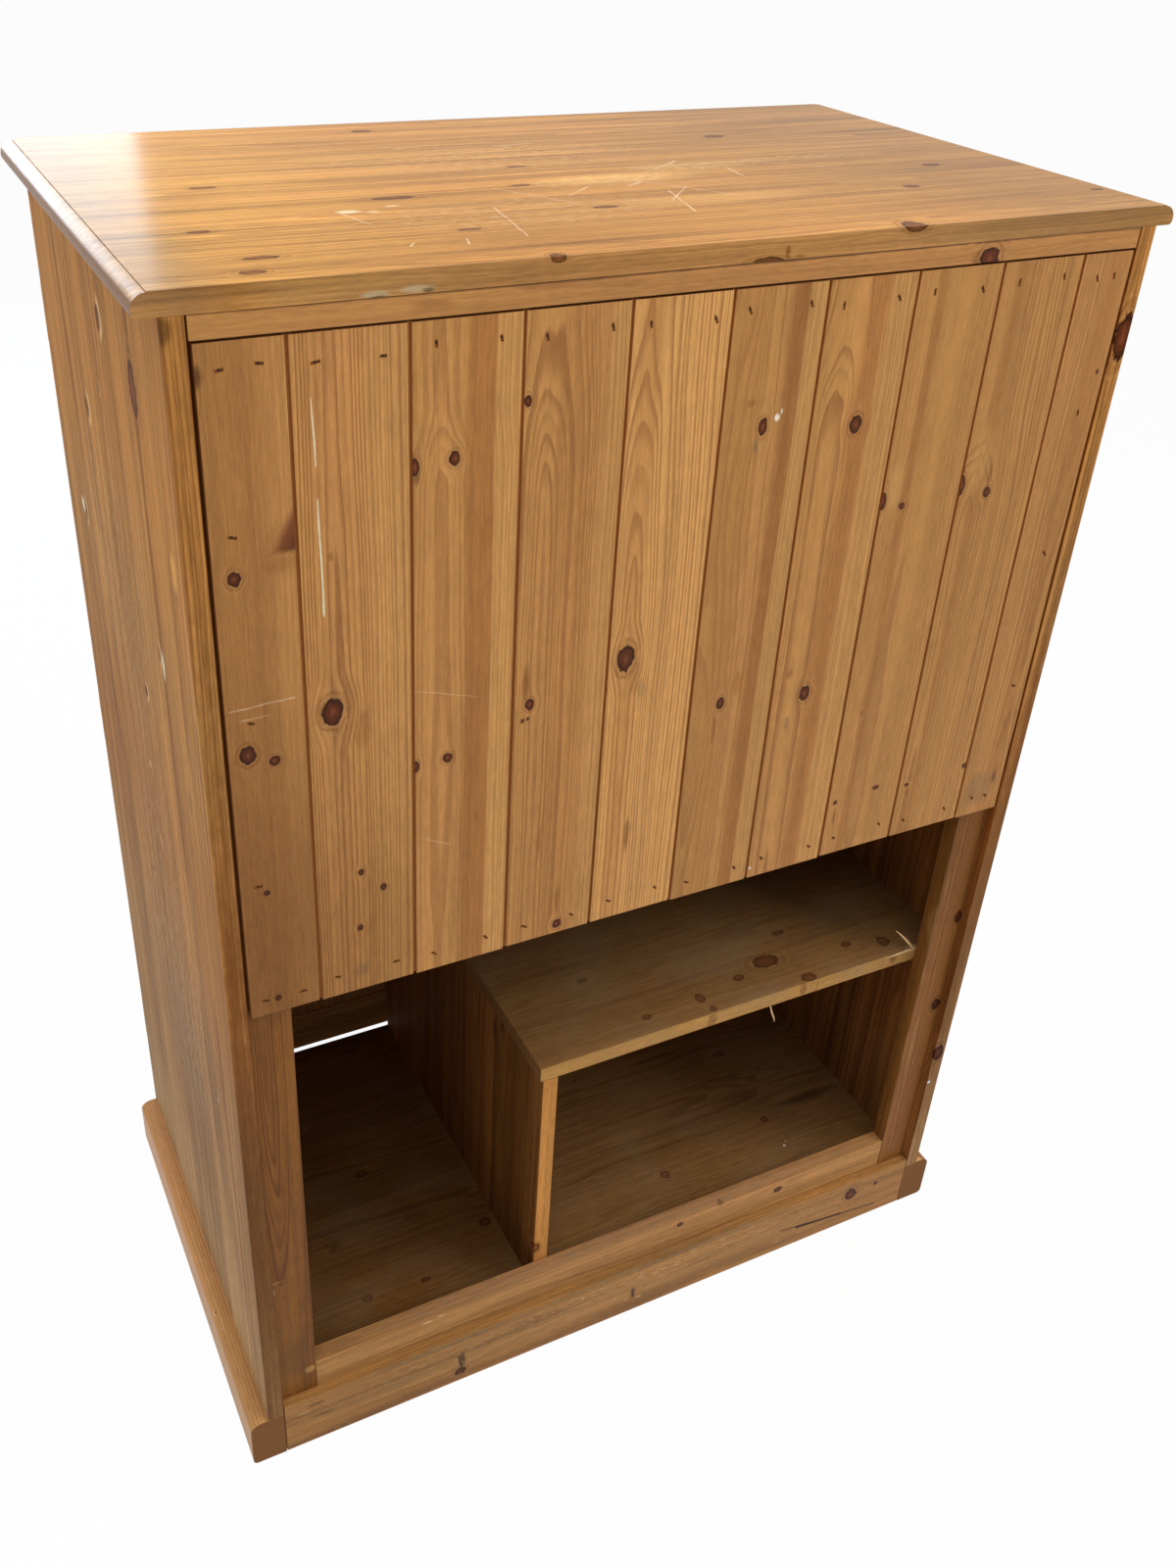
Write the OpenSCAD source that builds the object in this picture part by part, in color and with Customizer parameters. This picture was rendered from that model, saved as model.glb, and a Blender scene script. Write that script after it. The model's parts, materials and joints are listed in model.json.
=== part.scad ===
// Two-door pine wardrobe: boarded back over an open lower bay, with a divider and a shelf inside.
// X runs across the front, Y runs from the doors to the back, Z runs up from the ground.
// Left and right are as seen from the front. All sizes are in millimetres.

/* [Carcass] */
// Width over the outer faces of the side panels
carcass_w = 915; // [760:1:1200]
// Depth of the side panels, from front edge to rear edge
carcass_d = 531; // [420:1:640]
// Height of the underside of the top above the ground
under_top_h = 1316; // [1150:1:1700]
// Thickness of the side panels
side_t = 18; // [15:0.5:24]
// Height of the rail under the top at the front
front_rail_h = 40; // [24:1:80]
// Thickness of the rail under the top at the front
front_rail_t = 18; // [15:0.5:24]

/* [Top] */
// Thickness of the top
top_t = 18; // [16:0.5:26]
// How far the top stands out past each side panel
top_side_overhang = 18; // [8:1:30]
// How far the top stands out past the front edges of the side panels
top_front_overhang = 30; // [20:1:45]
// Radius of the large round on the moulded edge
top_round_r = 12; // [6:0.5:12]
// Radius of the small round under the moulded edge
top_lower_r = 4; // [1:0.5:5]
// Depth of the fine step where the large round starts
top_quirk = 0.8; // [0.3:0.1:1.5]
// Radius of the two front corners, seen from above
top_corner_r = 20; // [14:1:40]

/* [Plinth] */
// Height of the side and front plinth boards
plinth_h = 70; // [50:1:120]
// Thickness of the side plinth boards, inner face level with the side panel's
plinth_side_t = 39; // [32:0.5:50]
// Radius of the round along the outer top edge of a side plinth board
plinth_round_r = 12; // [4:0.5:12]
// Radius of the round along the outer bottom edge of a side plinth board
plinth_lower_r = 6; // [1:0.5:10]
// Depth of the fine step where the plinth's round starts
plinth_quirk = 0.6; // [0.3:0.1:1.5]
// Thickness of the front plinth board
plinth_front_t = 20; // [15:0.5:30]
// Thickness of the rear plinth rail
plinth_rear_t = 20; // [15:0.5:30]
// Joint gap at each end of the rear plinth rail
plinth_rear_gap = 0.8; // [0:0.1:2]

/* [Floor and lower bay] */
// Thickness of the floor board
floor_t = 12; // [9:0.5:20]
// How far the floor's front edge lies behind the front edges of the side panels
floor_setback = 3.5; // [0:0.5:10]
// Side of the square bearers under the floor's ends
bearer_s = 20; // [15:1:30]
// Height of the rail that stands on the floor at the back
floor_rail_h = 45; // [25:1:70]
// Thickness of the divider
divider_t = 18; // [15:0.5:24]
// Distance of the divider's right face from the middle of the wardrobe
divider_x = 113.5; // [0:0.5:200]
// Height of the shelf's underside above the ground
shelf_h = 431; // [300:1:600]
// Thickness of the shelf
shelf_t = 19; // [15:0.5:24]
// How far the shelf runs past the divider's right face
shelf_lip = 4; // [0:0.5:12]
// Side of the square cleat that carries the shelf's left end
shelf_cleat_s = 18; // [12:1:25]
// How far the shelf cleat stops short of the shelf's front and rear edges
shelf_cleat_setback = 40; // [10:1:80]
// Joint gap between the shelf and divider and the parts behind them
inner_gap = 0.3; // [0:0.1:0.8]

/* [Back] */
// Thickness of the back boards
back_t = 10; // [8:0.5:14]
// How far the boards lie below the rear edges of the side panels
back_recess = 0.5; // [0:0.1:3]
// Height of the boards' lower ends above the ground
back_bottom_h = 671; // [520:1:800]
// Width of the ripped board at the right
first_board_w = 68; // [50:0.5:90]
// Width of the ripped board at the left
last_board_w = 57; // [45:0.5:90]
// Width of the open seam between two boards
seam_w = 3; // [1:0.1:5]
// Thickness of the tongue along each board
tongue_t = 3.2; // [2:0.1:4]
// How far a tongue reaches into the next board
tongue_l = 4; // [2:0.5:6]
// Clearance round a tongue in its groove
tongue_clear = 0.2; // [0.1:0.05:0.4]
// Gap between the first board and the right side panel
back_gap_right = 3.5; // [1:0.5:6]
// Gap between the last board and the left side panel
back_gap_left = 2.5; // [1:0.5:6]
// Gap between the boards' upper ends and the rail over them
back_gap_top = 2; // [0.5:0.5:5]
// How much the boards' lower ends waver from one board to the next
board_end_waver = 0.8; // [0:0.1:2]
// Height of the rail over the boards
back_rail_h = 18.5; // [12:0.5:60]
// Joint gap at each end of the rail over the boards
back_rail_gap = 1.2; // [0:0.1:3]
// Width of the upright cleat in each rear corner
cleat_w = 43.5; // [30:0.5:60]
// Thickness of the rear cleats, battens and floor rail
cleat_t = 20; // [18:0.5:30]
// Height of the two battens that the boards are nailed to
batten_h = 40; // [30:1:70]

/* [Nails] */
// Radius of the nails
nail_r = 1.2; // [0.8:0.1:1.6]
// Length of the nails
nail_l = 24; // [15:1:26]
// How far the nails are punched below the boards' faces
nail_sink = 1.5; // [0.5:0.1:3]
// Distance of each nail row from the boards' ends
nail_row_inset = 20; // [12:1:28]
// Distance of the nails from the edges of a board's face
nail_edge_inset = 17; // [10:1:20]
// How much the hand-driven nails wander
nail_waver = 2.5; // [0:0.1:4]
// Clearance round a nail in its hole
nail_clear = 0.05; // [0.02:0.01:0.1]

/* [Doors] */
// Thickness of the doors
door_t = 18; // [16:0.5:24]
// Gap between the two closed doors
door_meeting_gap = 3; // [1:0.5:6]
// Gap between the floor's level and the doors' lower edges
door_bottom_gap = 0.5; // [0:0.1:4]
// Gap between the doors' upper edges and the top
door_top_gap = 3; // [1:0.5:8]
// Width of the door stiles
stile_w = 60; // [48:1:90]
// Width of the door rails
rail_w = 60; // [48:1:100]
// Height of the middle rail's centre above the ground
mid_rail_h = 590; // [400:1:640]
// Width of the groove that holds the panels, and thickness of the tenons
groove_w = 8; // [6:0.5:9]
// Depth of the groove that holds the panels
groove_d = 8; // [6:0.5:10]
// Length of the tenons
tenon_l = 30; // [15:1:34]
// Distance between a tenon and the end of its stile
tenon_shoulder = 9; // [5:0.5:14]
// Clearance of tenons and panels in thickness, on each face
joint_clear = 0.1; // [0.05:0.05:0.3]
// Room left for a panel to swell inside its grooves
panel_swell = 1; // [0.5:0.1:2]
// Thickness of a panel at its raised field
panel_t = 11.5; // [10:0.5:12]
// Width of the bevel round the raised field
panel_bevel_w = 30; // [10:1:50]

/* [Hinges] */
// Height of one hinge
hinge_h = 60; // [40:1:90]
// Thickness of a hinge leaf
leaf_t = 1.5; // [1:0.1:2]
// Width of a hinge leaf where it lies on the wood
leaf_w = 11; // [9.5:0.5:11.5]
// Gap between a closed door and the hinge leaves on the side panel
leaf_gap = 0.5; // [0.3:0.1:1.5]
// Outer radius of the knuckles
knuckle_r = 3; // [2.6:0.1:4]
// How far the knuckles lie inside the side panel's outer face
knuckle_inset = 0.3; // [0:0.1:0.5]
// Gap between neighbouring knuckles
knuckle_gap = 0.3; // [0.1:0.1:0.6]
// Radius of the hinge pins
hinge_pin_r = 1.3; // [1:0.1:1.5]
// Clearance round a hinge pin
pin_clear = 0.05; // [0.02:0.01:0.1]
// Distance from a door's end to the middle of its outer hinges
hinge_inset = 140; // [80:1:250]
// Distance between a knuckle and the wood beside it
knuckle_clear = 0.2; // [0.1:0.1:0.6]
// Radius of the hinge screws
hinge_screw_r = 1.5; // [1:0.1:2]
// Radius of the hinge screws' heads
hinge_screw_head_r = 3; // [2.4:0.1:3.4]
// Length of the hinge screws
hinge_screw_l = 14; // [9:0.5:15]

/* [Knobs] */
// Height of the knobs above the ground
knob_h = 700; // [660:1:900]
// Radius of the knobs
knob_r = 16; // [12:0.5:22]
// How far the knobs stand out from the doors
knob_l = 27; // [22:0.5:36]
// Radius of a knob's foot
knob_foot_r = 9; // [7:0.5:11]
// Length of a knob's neck
knob_neck_l = 12; // [8:0.5:14]
// Radius of the screw that holds a knob
knob_screw_r = 2; // [1.5:0.1:2.5]
// Depth of the screw in the knob
knob_screw_depth = 15; // [8:0.5:18]
// Radius of the knob screw's head
knob_screw_head_r = 4; // [3:0.1:5]
// Thickness of the knob screw's head
knob_screw_head_t = 2; // [1:0.1:3]

/* [Hanging rail] */
// Radius of the hanging rail
hang_r = 12.5; // [9:0.5:16]
// Distance of the hanging rail's centre below the underside of the top
hang_drop = 76; // [70:1:300]
// Distance of the hanging rail behind the middle of the side panels
hang_y = 0; // [-60:1:60]
// Radius of the flange at each end of the hanging rail
socket_flange_r = 26; // [22:0.5:32]
// Thickness of the socket's flange
socket_flange_t = 3; // [2:0.5:5]
// Wall of the socket's cup
socket_wall = 3; // [2:0.5:5]
// Length of the socket's cup
socket_cup_l = 14; // [8:1:25]

/* [Catches] */
// Width of a magnetic catch
catch_w = 44; // [30:1:50]
// Height of a magnetic catch
catch_h = 14; // [10:1:18]
// Depth of a magnetic catch
catch_d = 16; // [10:1:18]
// Thickness of the steel plate that the catch holds
strike_t = 0.8; // [0.3:0.1:0.8]
// Width of the steel plate
strike_w = 30; // [20:1:40]
// Height of the steel plate
strike_h = 11; // [8:1:16]
// Running gap between the catch and its plate
catch_clear = 0.15; // [0.05:0.05:0.3]

/* [Hidden] */
$fn = 64;

cut = 1; // overshoot of every cutting tool

// Gap between a closed door and the front edges of the side panels
door_gap = leaf_t + leaf_gap;

// Reach of the whole piece, which centres it over its origin
front_reach = max(top_front_overhang, door_gap + door_t + knob_l);
y_rear = (carcass_d + front_reach) / 2;
y_front = y_rear - carcass_d;
half_w = carcass_w / 2;
inner_x = half_w - side_t;
inner_w = 2 * inner_x;

// Levels of the lower bay
floor_top = plinth_h + floor_t;
y_floor_front = y_front + floor_setback;
y_floor_rear = y_rear - plinth_rear_t;
y_cleat_rear = y_rear - back_recess - back_t;
y_cleat_front = y_cleat_rear - cleat_t;
y_inner_rear = y_cleat_front - inner_gap;
cleat_x = inner_x - cleat_w;
back_rail_z = under_top_h - back_rail_h;

// Back boards, counted from the right-hand side panel
board_n = 10;
board_top = back_rail_z - back_gap_top;
boards_x_hi = inner_x - back_gap_right;
boards_x_lo = -inner_x + back_gap_left;
board_cover = (boards_x_hi - boards_x_lo - first_board_w - last_board_w) / (board_n - 2);
y_board_rear = y_rear - back_recess;
y_board_mid = y_board_rear - back_t / 2;
function board_hi(i) = i == 1 ? boards_x_hi : boards_x_hi - first_board_w - (i - 2) * board_cover;
function board_lo(i) = i == board_n ? boards_x_lo : board_hi(i + 1);
function board_foot(i) = back_bottom_h + board_end_waver * sin(97 * i);
function face_lo(i) = i == board_n ? board_lo(i) : board_lo(i) + seam_w;

// Nails: two in each board's head and foot, and more down the two cleats
nail_hole_r = nail_r + nail_clear;
cleat_nail_rows = 3;
function nail_wander(i, k) = nail_waver * sin(53 * i + 131 * k);
function board_nails(i) = [
    for (k = [0:3])
        let (on_low = k % 2 == 0, at_head = k < 2)
        [(on_low ? face_lo(i) + nail_edge_inset : board_hi(i) - nail_edge_inset) + nail_wander(i, k),
         at_head ? board_top - nail_row_inset + nail_wander(k, i)
                 : back_bottom_h + nail_row_inset + nail_wander(k, i + 3)]
];
function cleat_nails(i) = [
    for (k = [1:cleat_nail_rows])
        let (side = i == 1 ? 1 : -1)
        [side * (cleat_x + cleat_w / 2) + nail_wander(i, k + 5),
         back_bottom_h + (board_top - back_bottom_h) * k / (cleat_nail_rows + 1)
             + 4 * nail_wander(k, i + 1)]
];
function nails_of(i) = (i == 1 || i == board_n) ? concat(board_nails(i), cleat_nails(i)) : board_nails(i);

// Hinge axis, with the knuckles in front of the side panel's front edge
hinge_x = half_w - knuckle_inset - knuckle_r;
hinge_y = y_front - knuckle_clear - knuckle_r;

// Doors, worked out for the right-hand door and mirrored for the left
y_door_back = y_front - door_gap;
y_door_mid = y_door_back - door_t / 2;
y_door_face = y_door_back - door_t;
door_x_in = door_meeting_gap / 2;
door_x_out = hinge_x - knuckle_r - knuckle_clear;
door_z0 = floor_top + door_bottom_gap;
door_z1 = under_top_h - door_top_gap;
stile_mid_x = door_x_in + stile_w / 2;
rail_x0 = door_x_in + stile_w;
rail_x1 = door_x_out - stile_w;
bottom_rail_z = door_z0;
mid_rail_z = mid_rail_h - rail_w / 2;
top_rail_z = door_z1 - rail_w;
tenon_t = groove_w - 2 * joint_clear;
mortise_d = tenon_l + joint_clear;
panel_edge_t = groove_w - 2 * joint_clear;
panel_lip = groove_d - panel_swell + 1;

// Height span of each tenon, bottom, middle and top
tenon_spans = [
    [bottom_rail_z + tenon_shoulder, bottom_rail_z + rail_w - groove_d],
    [mid_rail_z + groove_d, mid_rail_z + rail_w - groove_d],
    [top_rail_z + groove_d, top_rail_z + rail_w - tenon_shoulder]
];

// Hinges
knuckle_n = 5;
knuckle_pitch = hinge_h / knuckle_n;
hinge_zs = [door_z0 + hinge_inset, (door_z0 + door_z1) / 2, door_z1 - hinge_inset];
leaf_edge = hinge_x - door_x_out;
leaf_screw_x = door_x_out - leaf_w / 2;
leaf_screw_zs = [-hinge_h / 3, 0, hinge_h / 3];
screw_head_h = leaf_t - 0.2;
screw_clear = 0.05;
pin_head_r = hinge_pin_r + 1;
pin_head_h = 1.4;

// Hanging rail
hang_z = under_top_h - hang_drop;

// Catches
catch_z = under_top_h - front_rail_h - catch_h;
y_catch = y_door_back + strike_t + catch_clear;

// Finishes
lacquered_pine = [0.80, 0.56, 0.30];
side_pine = [0.70, 0.50, 0.31];
back_pine = [0.74, 0.53, 0.31];
dusty_pine = [0.45, 0.33, 0.21];
batten_pine = [0.66, 0.47, 0.28];
knob_pine = [0.72, 0.47, 0.24];
brass_tone = [0.72, 0.58, 0.30];
steel_tone = [0.62, 0.62, 0.62];
nail_tone = [0.22, 0.17, 0.14];
catch_tone = [0.36, 0.24, 0.16];

module on_side(s) {
    if (s > 0) children();
    else mirror([1, 0, 0]) children();
}

// Box between two opposite corners
module block(lo, hi) {
    translate(lo) cube(hi - lo);
}

// Section of a moulded edge: outer top corner rounded below a fine step, outer bottom corner eased
module moulded_section(w, h, round_r, lower_r, quirk) {
    big_r = min(round_r, h - quirk - lower_r);
    difference() {
        square([w, h]);
        translate([w - big_r, h - quirk - big_r]) difference() {
            square([big_r + cut, big_r + quirk + cut]);
            circle(big_r);
        }
        translate([w - lower_r, lower_r]) mirror([0, 1]) difference() {
            square([lower_r + cut, lower_r + cut]);
            circle(lower_r);
        }
    }
}

module top_section() {
    moulded_section(top_corner_r, top_t, top_round_r, top_lower_r, top_quirk);
}

module top_slab() {
    edge_x = half_w + top_side_overhang - top_corner_r;
    edge_y = y_front - top_front_overhang + top_corner_r;
    color(lacquered_pine) translate([0, 0, under_top_h]) {
        block([-edge_x, edge_y, 0], [edge_x, y_rear, top_t]);
        for (s = [-1, 1]) on_side(s) {
            translate([edge_x, y_rear, 0]) rotate([90, 0, 0])
                linear_extrude(y_rear - edge_y) top_section();
            translate([edge_x, edge_y, 0]) rotate_extrude() top_section();
        }
        translate([edge_x, edge_y, 0]) rotate([90, 0, -90])
            linear_extrude(2 * edge_x) top_section();
    }
}

// Hole along +Y or -Y for a screw or nail, starting at a point on the wood's face
module hole_y(at, r, depth, dir) {
    translate(at - [0, dir * cut, 0]) rotate([-90 * dir, 0, 0]) cylinder(r = r, h = depth + cut);
}

module side_panel() {
    color(side_pine) difference() {
        block([inner_x, y_front, plinth_h], [half_w, y_rear, under_top_h]);
        for (z = hinge_zs, dz = leaf_screw_zs)
            hole_y([leaf_screw_x, y_front, z + dz], hinge_screw_r + screw_clear,
                   hinge_screw_l - leaf_t + screw_clear, 1);
    }
}

module front_top_rail() {
    color(side_pine)
        block([-inner_x, y_front, under_top_h - front_rail_h],
              [inner_x, y_front + front_rail_t, under_top_h]);
}

module plinth_side() {
    color(side_pine) translate([inner_x, y_rear, 0]) rotate([90, 0, 0])
        linear_extrude(carcass_d)
            moulded_section(plinth_side_t, plinth_h, plinth_round_r, plinth_lower_r, plinth_quirk);
}

module plinth_front() {
    color(side_pine) block([-inner_x, y_front, 0], [inner_x, y_front + plinth_front_t, plinth_h]);
}

module plinth_rear_rail() {
    end_x = inner_x - plinth_rear_gap;
    color(back_pine) block([-end_x, y_floor_rear, 0], [end_x, y_rear, floor_top]);
}

module floor_board() {
    color(dusty_pine) block([-inner_x, y_floor_front, plinth_h], [inner_x, y_floor_rear, floor_top]);
}

module floor_bearers() {
    color(batten_pine) for (s = [-1, 1]) on_side(s)
        block([inner_x - bearer_s, y_front + plinth_front_t, plinth_h - bearer_s],
              [inner_x, y_floor_rear, plinth_h]);
}

module floor_rear_rail() {
    color(back_pine)
        block([-cleat_x, y_cleat_front, floor_top], [cleat_x, y_cleat_rear, floor_top + floor_rail_h]);
}

module divider() {
    color(dusty_pine)
        block([divider_x - divider_t, y_floor_front, floor_top], [divider_x, y_inner_rear, shelf_h]);
}

module shelf() {
    color(dusty_pine)
        block([-inner_x, y_floor_front, shelf_h], [divider_x + shelf_lip, y_inner_rear, shelf_h + shelf_t]);
}

module shelf_cleat() {
    color(batten_pine)
        block([-inner_x, y_floor_front + shelf_cleat_setback, shelf_h - shelf_cleat_s],
              [-inner_x + shelf_cleat_s, y_inner_rear - shelf_cleat_setback, shelf_h]);
}

// Pilot holes in whatever lies behind the boards
module nail_pilots(boards) {
    for (i = boards, p = nails_of(i))
        hole_y([p[0], y_cleat_rear, p[1]], nail_hole_r, nail_l + nail_sink - back_t, -1);
}

module back_cleat(s) {
    color(batten_pine) difference() {
        on_side(s) block([cleat_x, y_cleat_front, floor_top], [inner_x, y_cleat_rear, back_rail_z]);
        nail_pilots([s > 0 ? 1 : board_n]);
    }
}

module back_top_rail() {
    end_x = inner_x - back_rail_gap;
    color(back_pine) block([-end_x, y_cleat_front, back_rail_z], [end_x, y_rear, under_top_h]);
}

module back_batten(z) {
    color(batten_pine) difference() {
        block([-cleat_x, y_cleat_front, z], [cleat_x, y_cleat_rear, z + batten_h]);
        nail_pilots([1:board_n]);
    }
}

// Plan of one board: a groove along its high edge and a tongue along its low edge
module board_plan(i) {
    hi = board_hi(i);
    lo = board_lo(i);
    y0 = y_cleat_rear;
    y1 = y_board_rear;
    tongue_y0 = y_board_mid - tongue_t / 2;
    tongue_y1 = y_board_mid + tongue_t / 2;
    groove_in = hi - tongue_l - tongue_clear;
    high_edge = i == 1 ? [[hi, y0], [hi, y1]] : [
        [hi, y0], [hi, tongue_y0 - tongue_clear], [groove_in, tongue_y0 - tongue_clear],
        [groove_in, tongue_y1 + tongue_clear], [hi, tongue_y1 + tongue_clear], [hi, y1]
    ];
    low_edge = i == board_n ? [[lo, y1], [lo, y0]] : [
        [lo + seam_w, y1], [lo + seam_w, tongue_y1], [lo - tongue_l, tongue_y1],
        [lo - tongue_l, tongue_y0], [lo, tongue_y0], [lo, y0]
    ];
    polygon(concat(high_edge, low_edge));
}

module back_board(i) {
    color(back_pine) difference() {
        translate([0, 0, board_foot(i)]) linear_extrude(board_top - board_foot(i)) board_plan(i);
        for (p = nails_of(i)) hole_y([p[0], y_board_rear, p[1]], nail_hole_r, back_t + cut, -1);
    }
}

module back_nails() {
    color(nail_tone) for (i = [1:board_n], p = nails_of(i))
        translate([p[0], y_board_rear - nail_sink, p[1]]) rotate([90, 0, 0])
            cylinder(r = nail_r, h = nail_l);
}

module hanging_rail() {
    rail_l = inner_w - 2 * (socket_flange_t + joint_clear);
    color(steel_tone) translate([-rail_l / 2, (y_front + y_rear) / 2 + hang_y, hang_z])
        rotate([0, 90, 0]) cylinder(r = hang_r, h = rail_l);
}

module rail_sockets() {
    bore_r = hang_r + joint_clear;
    color(steel_tone) for (s = [-1, 1]) on_side(s)
        translate([inner_x, (y_front + y_rear) / 2 + hang_y, hang_z]) rotate([0, -90, 0])
            difference() {
                union() {
                    cylinder(r = socket_flange_r, h = socket_flange_t);
                    cylinder(r = bore_r + socket_wall, h = socket_flange_t + socket_cup_l);
                }
                translate([0, 0, socket_flange_t]) cylinder(r = bore_r, h = socket_cup_l + cut);
            }
}

module magnetic_catches() {
    color(catch_tone) for (s = [-1, 1]) on_side(s)
        block([stile_mid_x - catch_w / 2, y_catch, catch_z],
              [stile_mid_x + catch_w / 2, y_catch + catch_d, catch_z + catch_h]);
}

// Countersunk screw along +Z, with its head's face at z = 0
module hinge_screw() {
    rotate_extrude() polygon([
        [0, 0], [hinge_screw_head_r, 0], [hinge_screw_r, screw_head_h],
        [hinge_screw_r, hinge_screw_l - hinge_screw_r], [0, hinge_screw_l]
    ]);
}

// One leaf, its knuckles round the Z axis and its countersunk face at y0
module hinge_leaf(knuckles, y0) {
    plate_x = -leaf_edge - leaf_w;
    screw_x = -leaf_edge - leaf_w / 2;
    difference() {
        union() {
            block([plate_x, y0, -hinge_h / 2], [-leaf_edge, y0 + leaf_t, hinge_h / 2]);
            for (i = knuckles) {
                z0 = -hinge_h / 2 + i * knuckle_pitch + knuckle_gap / 2;
                translate([0, 0, z0]) cylinder(r = knuckle_r, h = knuckle_pitch - knuckle_gap);
                block([-leaf_edge - cut, y0, z0], [0, y0 + leaf_t, z0 + knuckle_pitch - knuckle_gap]);
            }
        }
        translate([0, 0, -hinge_h]) cylinder(r = hinge_pin_r + pin_clear, h = 2 * hinge_h);
        for (dz = leaf_screw_zs) translate([screw_x, y0, dz]) rotate([-90, 0, 0]) {
            translate([0, 0, -cut]) cylinder(r = hinge_screw_r + screw_clear, h = leaf_t + 2 * cut);
            rotate_extrude() polygon([
                [0, -cut], [hinge_screw_head_r + screw_clear, -cut],
                [hinge_screw_head_r + screw_clear, 0],
                [hinge_screw_r + screw_clear, screw_head_h], [0, screw_head_h]
            ]);
        }
    }
}

module hinge_frame_leaves() {
    color(brass_tone) for (s = [-1, 1], z = hinge_zs) on_side(s)
        translate([hinge_x, hinge_y, z]) hinge_leaf([0, 2, 4], y_front - leaf_t - hinge_y);
}

module hinge_pins() {
    color(brass_tone) for (s = [-1, 1], z = hinge_zs) on_side(s)
        translate([hinge_x, hinge_y, z]) {
            translate([0, 0, -hinge_h / 2]) cylinder(r = hinge_pin_r, h = hinge_h);
            translate([0, 0, hinge_h / 2]) cylinder(r = pin_head_r, h = pin_head_h);
            translate([0, 0, -hinge_h / 2 - pin_head_h]) cylinder(r = pin_head_r, h = pin_head_h);
        }
}

module hinge_frame_screws() {
    color(brass_tone) for (s = [-1, 1], z = hinge_zs, dz = leaf_screw_zs) on_side(s)
        translate([leaf_screw_x, y_front - leaf_t, z + dz]) rotate([-90, 0, 0]) hinge_screw();
}

module door_hinge_leaves(s) {
    color(brass_tone) for (z = hinge_zs) on_side(s)
        translate([hinge_x, hinge_y, z]) mirror([0, 1, 0])
            hinge_leaf([1, 3], hinge_y - y_door_back);
}

module door_hinge_screws(s) {
    color(brass_tone) for (z = hinge_zs, dz = leaf_screw_zs) on_side(s)
        translate([leaf_screw_x, y_door_back, z + dz]) rotate([90, 0, 0]) hinge_screw();
}

// Panel groove and mortises along one edge of a stile, cut from x towards dir
module stile_cuts(x, dir) {
    far = x + dir * groove_d;
    deep = x + dir * mortise_d;
    near = x - dir * cut;
    y0 = y_door_mid - groove_w / 2;
    y1 = y_door_mid + groove_w / 2;
    block([min(near, far), y0, tenon_spans[0][0]], [max(near, far), y1, tenon_spans[2][1]]);
    for (span = tenon_spans)
        block([min(near, deep), y0, span[0]], [max(near, deep), y1, span[1]]);
}

module hinge_stile(s) {
    color(lacquered_pine) on_side(s) difference() {
        block([rail_x1, y_door_face, door_z0], [door_x_out, y_door_back, door_z1]);
        stile_cuts(rail_x1, 1);
        for (z = hinge_zs) {
            block([door_x_out - leaf_w - joint_clear, y_door_back - leaf_t, z - hinge_h / 2 - joint_clear],
                  [door_x_out + cut, y_door_back + cut, z + hinge_h / 2 + joint_clear]);
            for (dz = leaf_screw_zs)
                hole_y([leaf_screw_x, y_door_back, z + dz], hinge_screw_r + screw_clear,
                       hinge_screw_l + screw_clear, -1);
        }
    }
}

module meeting_stile(s) {
    color(lacquered_pine) on_side(s) difference() {
        block([door_x_in, y_door_face, door_z0], [rail_x0, y_door_back, door_z1]);
        stile_cuts(rail_x0, -1);
        hole_y([stile_mid_x, y_door_back, knob_h], knob_screw_r + screw_clear, door_t + cut, -1);
    }
}

// One rail with a tenon at each end and a panel groove along the edges that face a panel
module door_rail(s, z, span, groove_below, groove_above) {
    groove_y0 = y_door_mid - groove_w / 2;
    groove_y1 = y_door_mid + groove_w / 2;
    color(lacquered_pine) on_side(s) {
        difference() {
            block([rail_x0, y_door_face, z], [rail_x1, y_door_back, z + rail_w]);
            if (groove_below)
                block([rail_x0 - cut, groove_y0, z - cut], [rail_x1 + cut, groove_y1, z + groove_d]);
            if (groove_above)
                block([rail_x0 - cut, groove_y0, z + rail_w - groove_d],
                      [rail_x1 + cut, groove_y1, z + rail_w + cut]);
        }
        block([rail_x0 - tenon_l, y_door_mid - tenon_t / 2, span[0] + joint_clear],
              [rail_x1 + tenon_l, y_door_mid + tenon_t / 2, span[1] - joint_clear]);
    }
}

// Section of a fielded panel, width w, with its flat back at y = 0 and its field towards -y
module panel_section(w) {
    polygon([
        [-w / 2, 0], [w / 2, 0], [w / 2, -panel_edge_t], [w / 2 - panel_lip, -panel_edge_t],
        [w / 2 - panel_lip - panel_bevel_w, -panel_t], [-w / 2 + panel_lip + panel_bevel_w, -panel_t],
        [-w / 2 + panel_lip, -panel_edge_t], [-w / 2, -panel_edge_t]
    ]);
}

// Fielded panel between heights z0 and z1, let into the grooves all round
module door_panel(s, z0, z1) {
    reach = groove_d - panel_swell;
    w = rail_x1 - rail_x0 + 2 * reach;
    h = z1 - z0 + 2 * reach;
    color(lacquered_pine) on_side(s)
        translate([(rail_x0 + rail_x1) / 2, y_door_mid + panel_edge_t / 2, (z0 + z1) / 2])
            intersection() {
                translate([0, 0, -h / 2]) linear_extrude(h) panel_section(w);
                translate([w / 2, 0, 0]) rotate([0, -90, 0]) linear_extrude(w) panel_section(h);
            }
}

module upper_panel(s) { door_panel(s, mid_rail_z + rail_w, top_rail_z); }

module lower_panel(s) { door_panel(s, bottom_rail_z + rail_w, mid_rail_z); }

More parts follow.
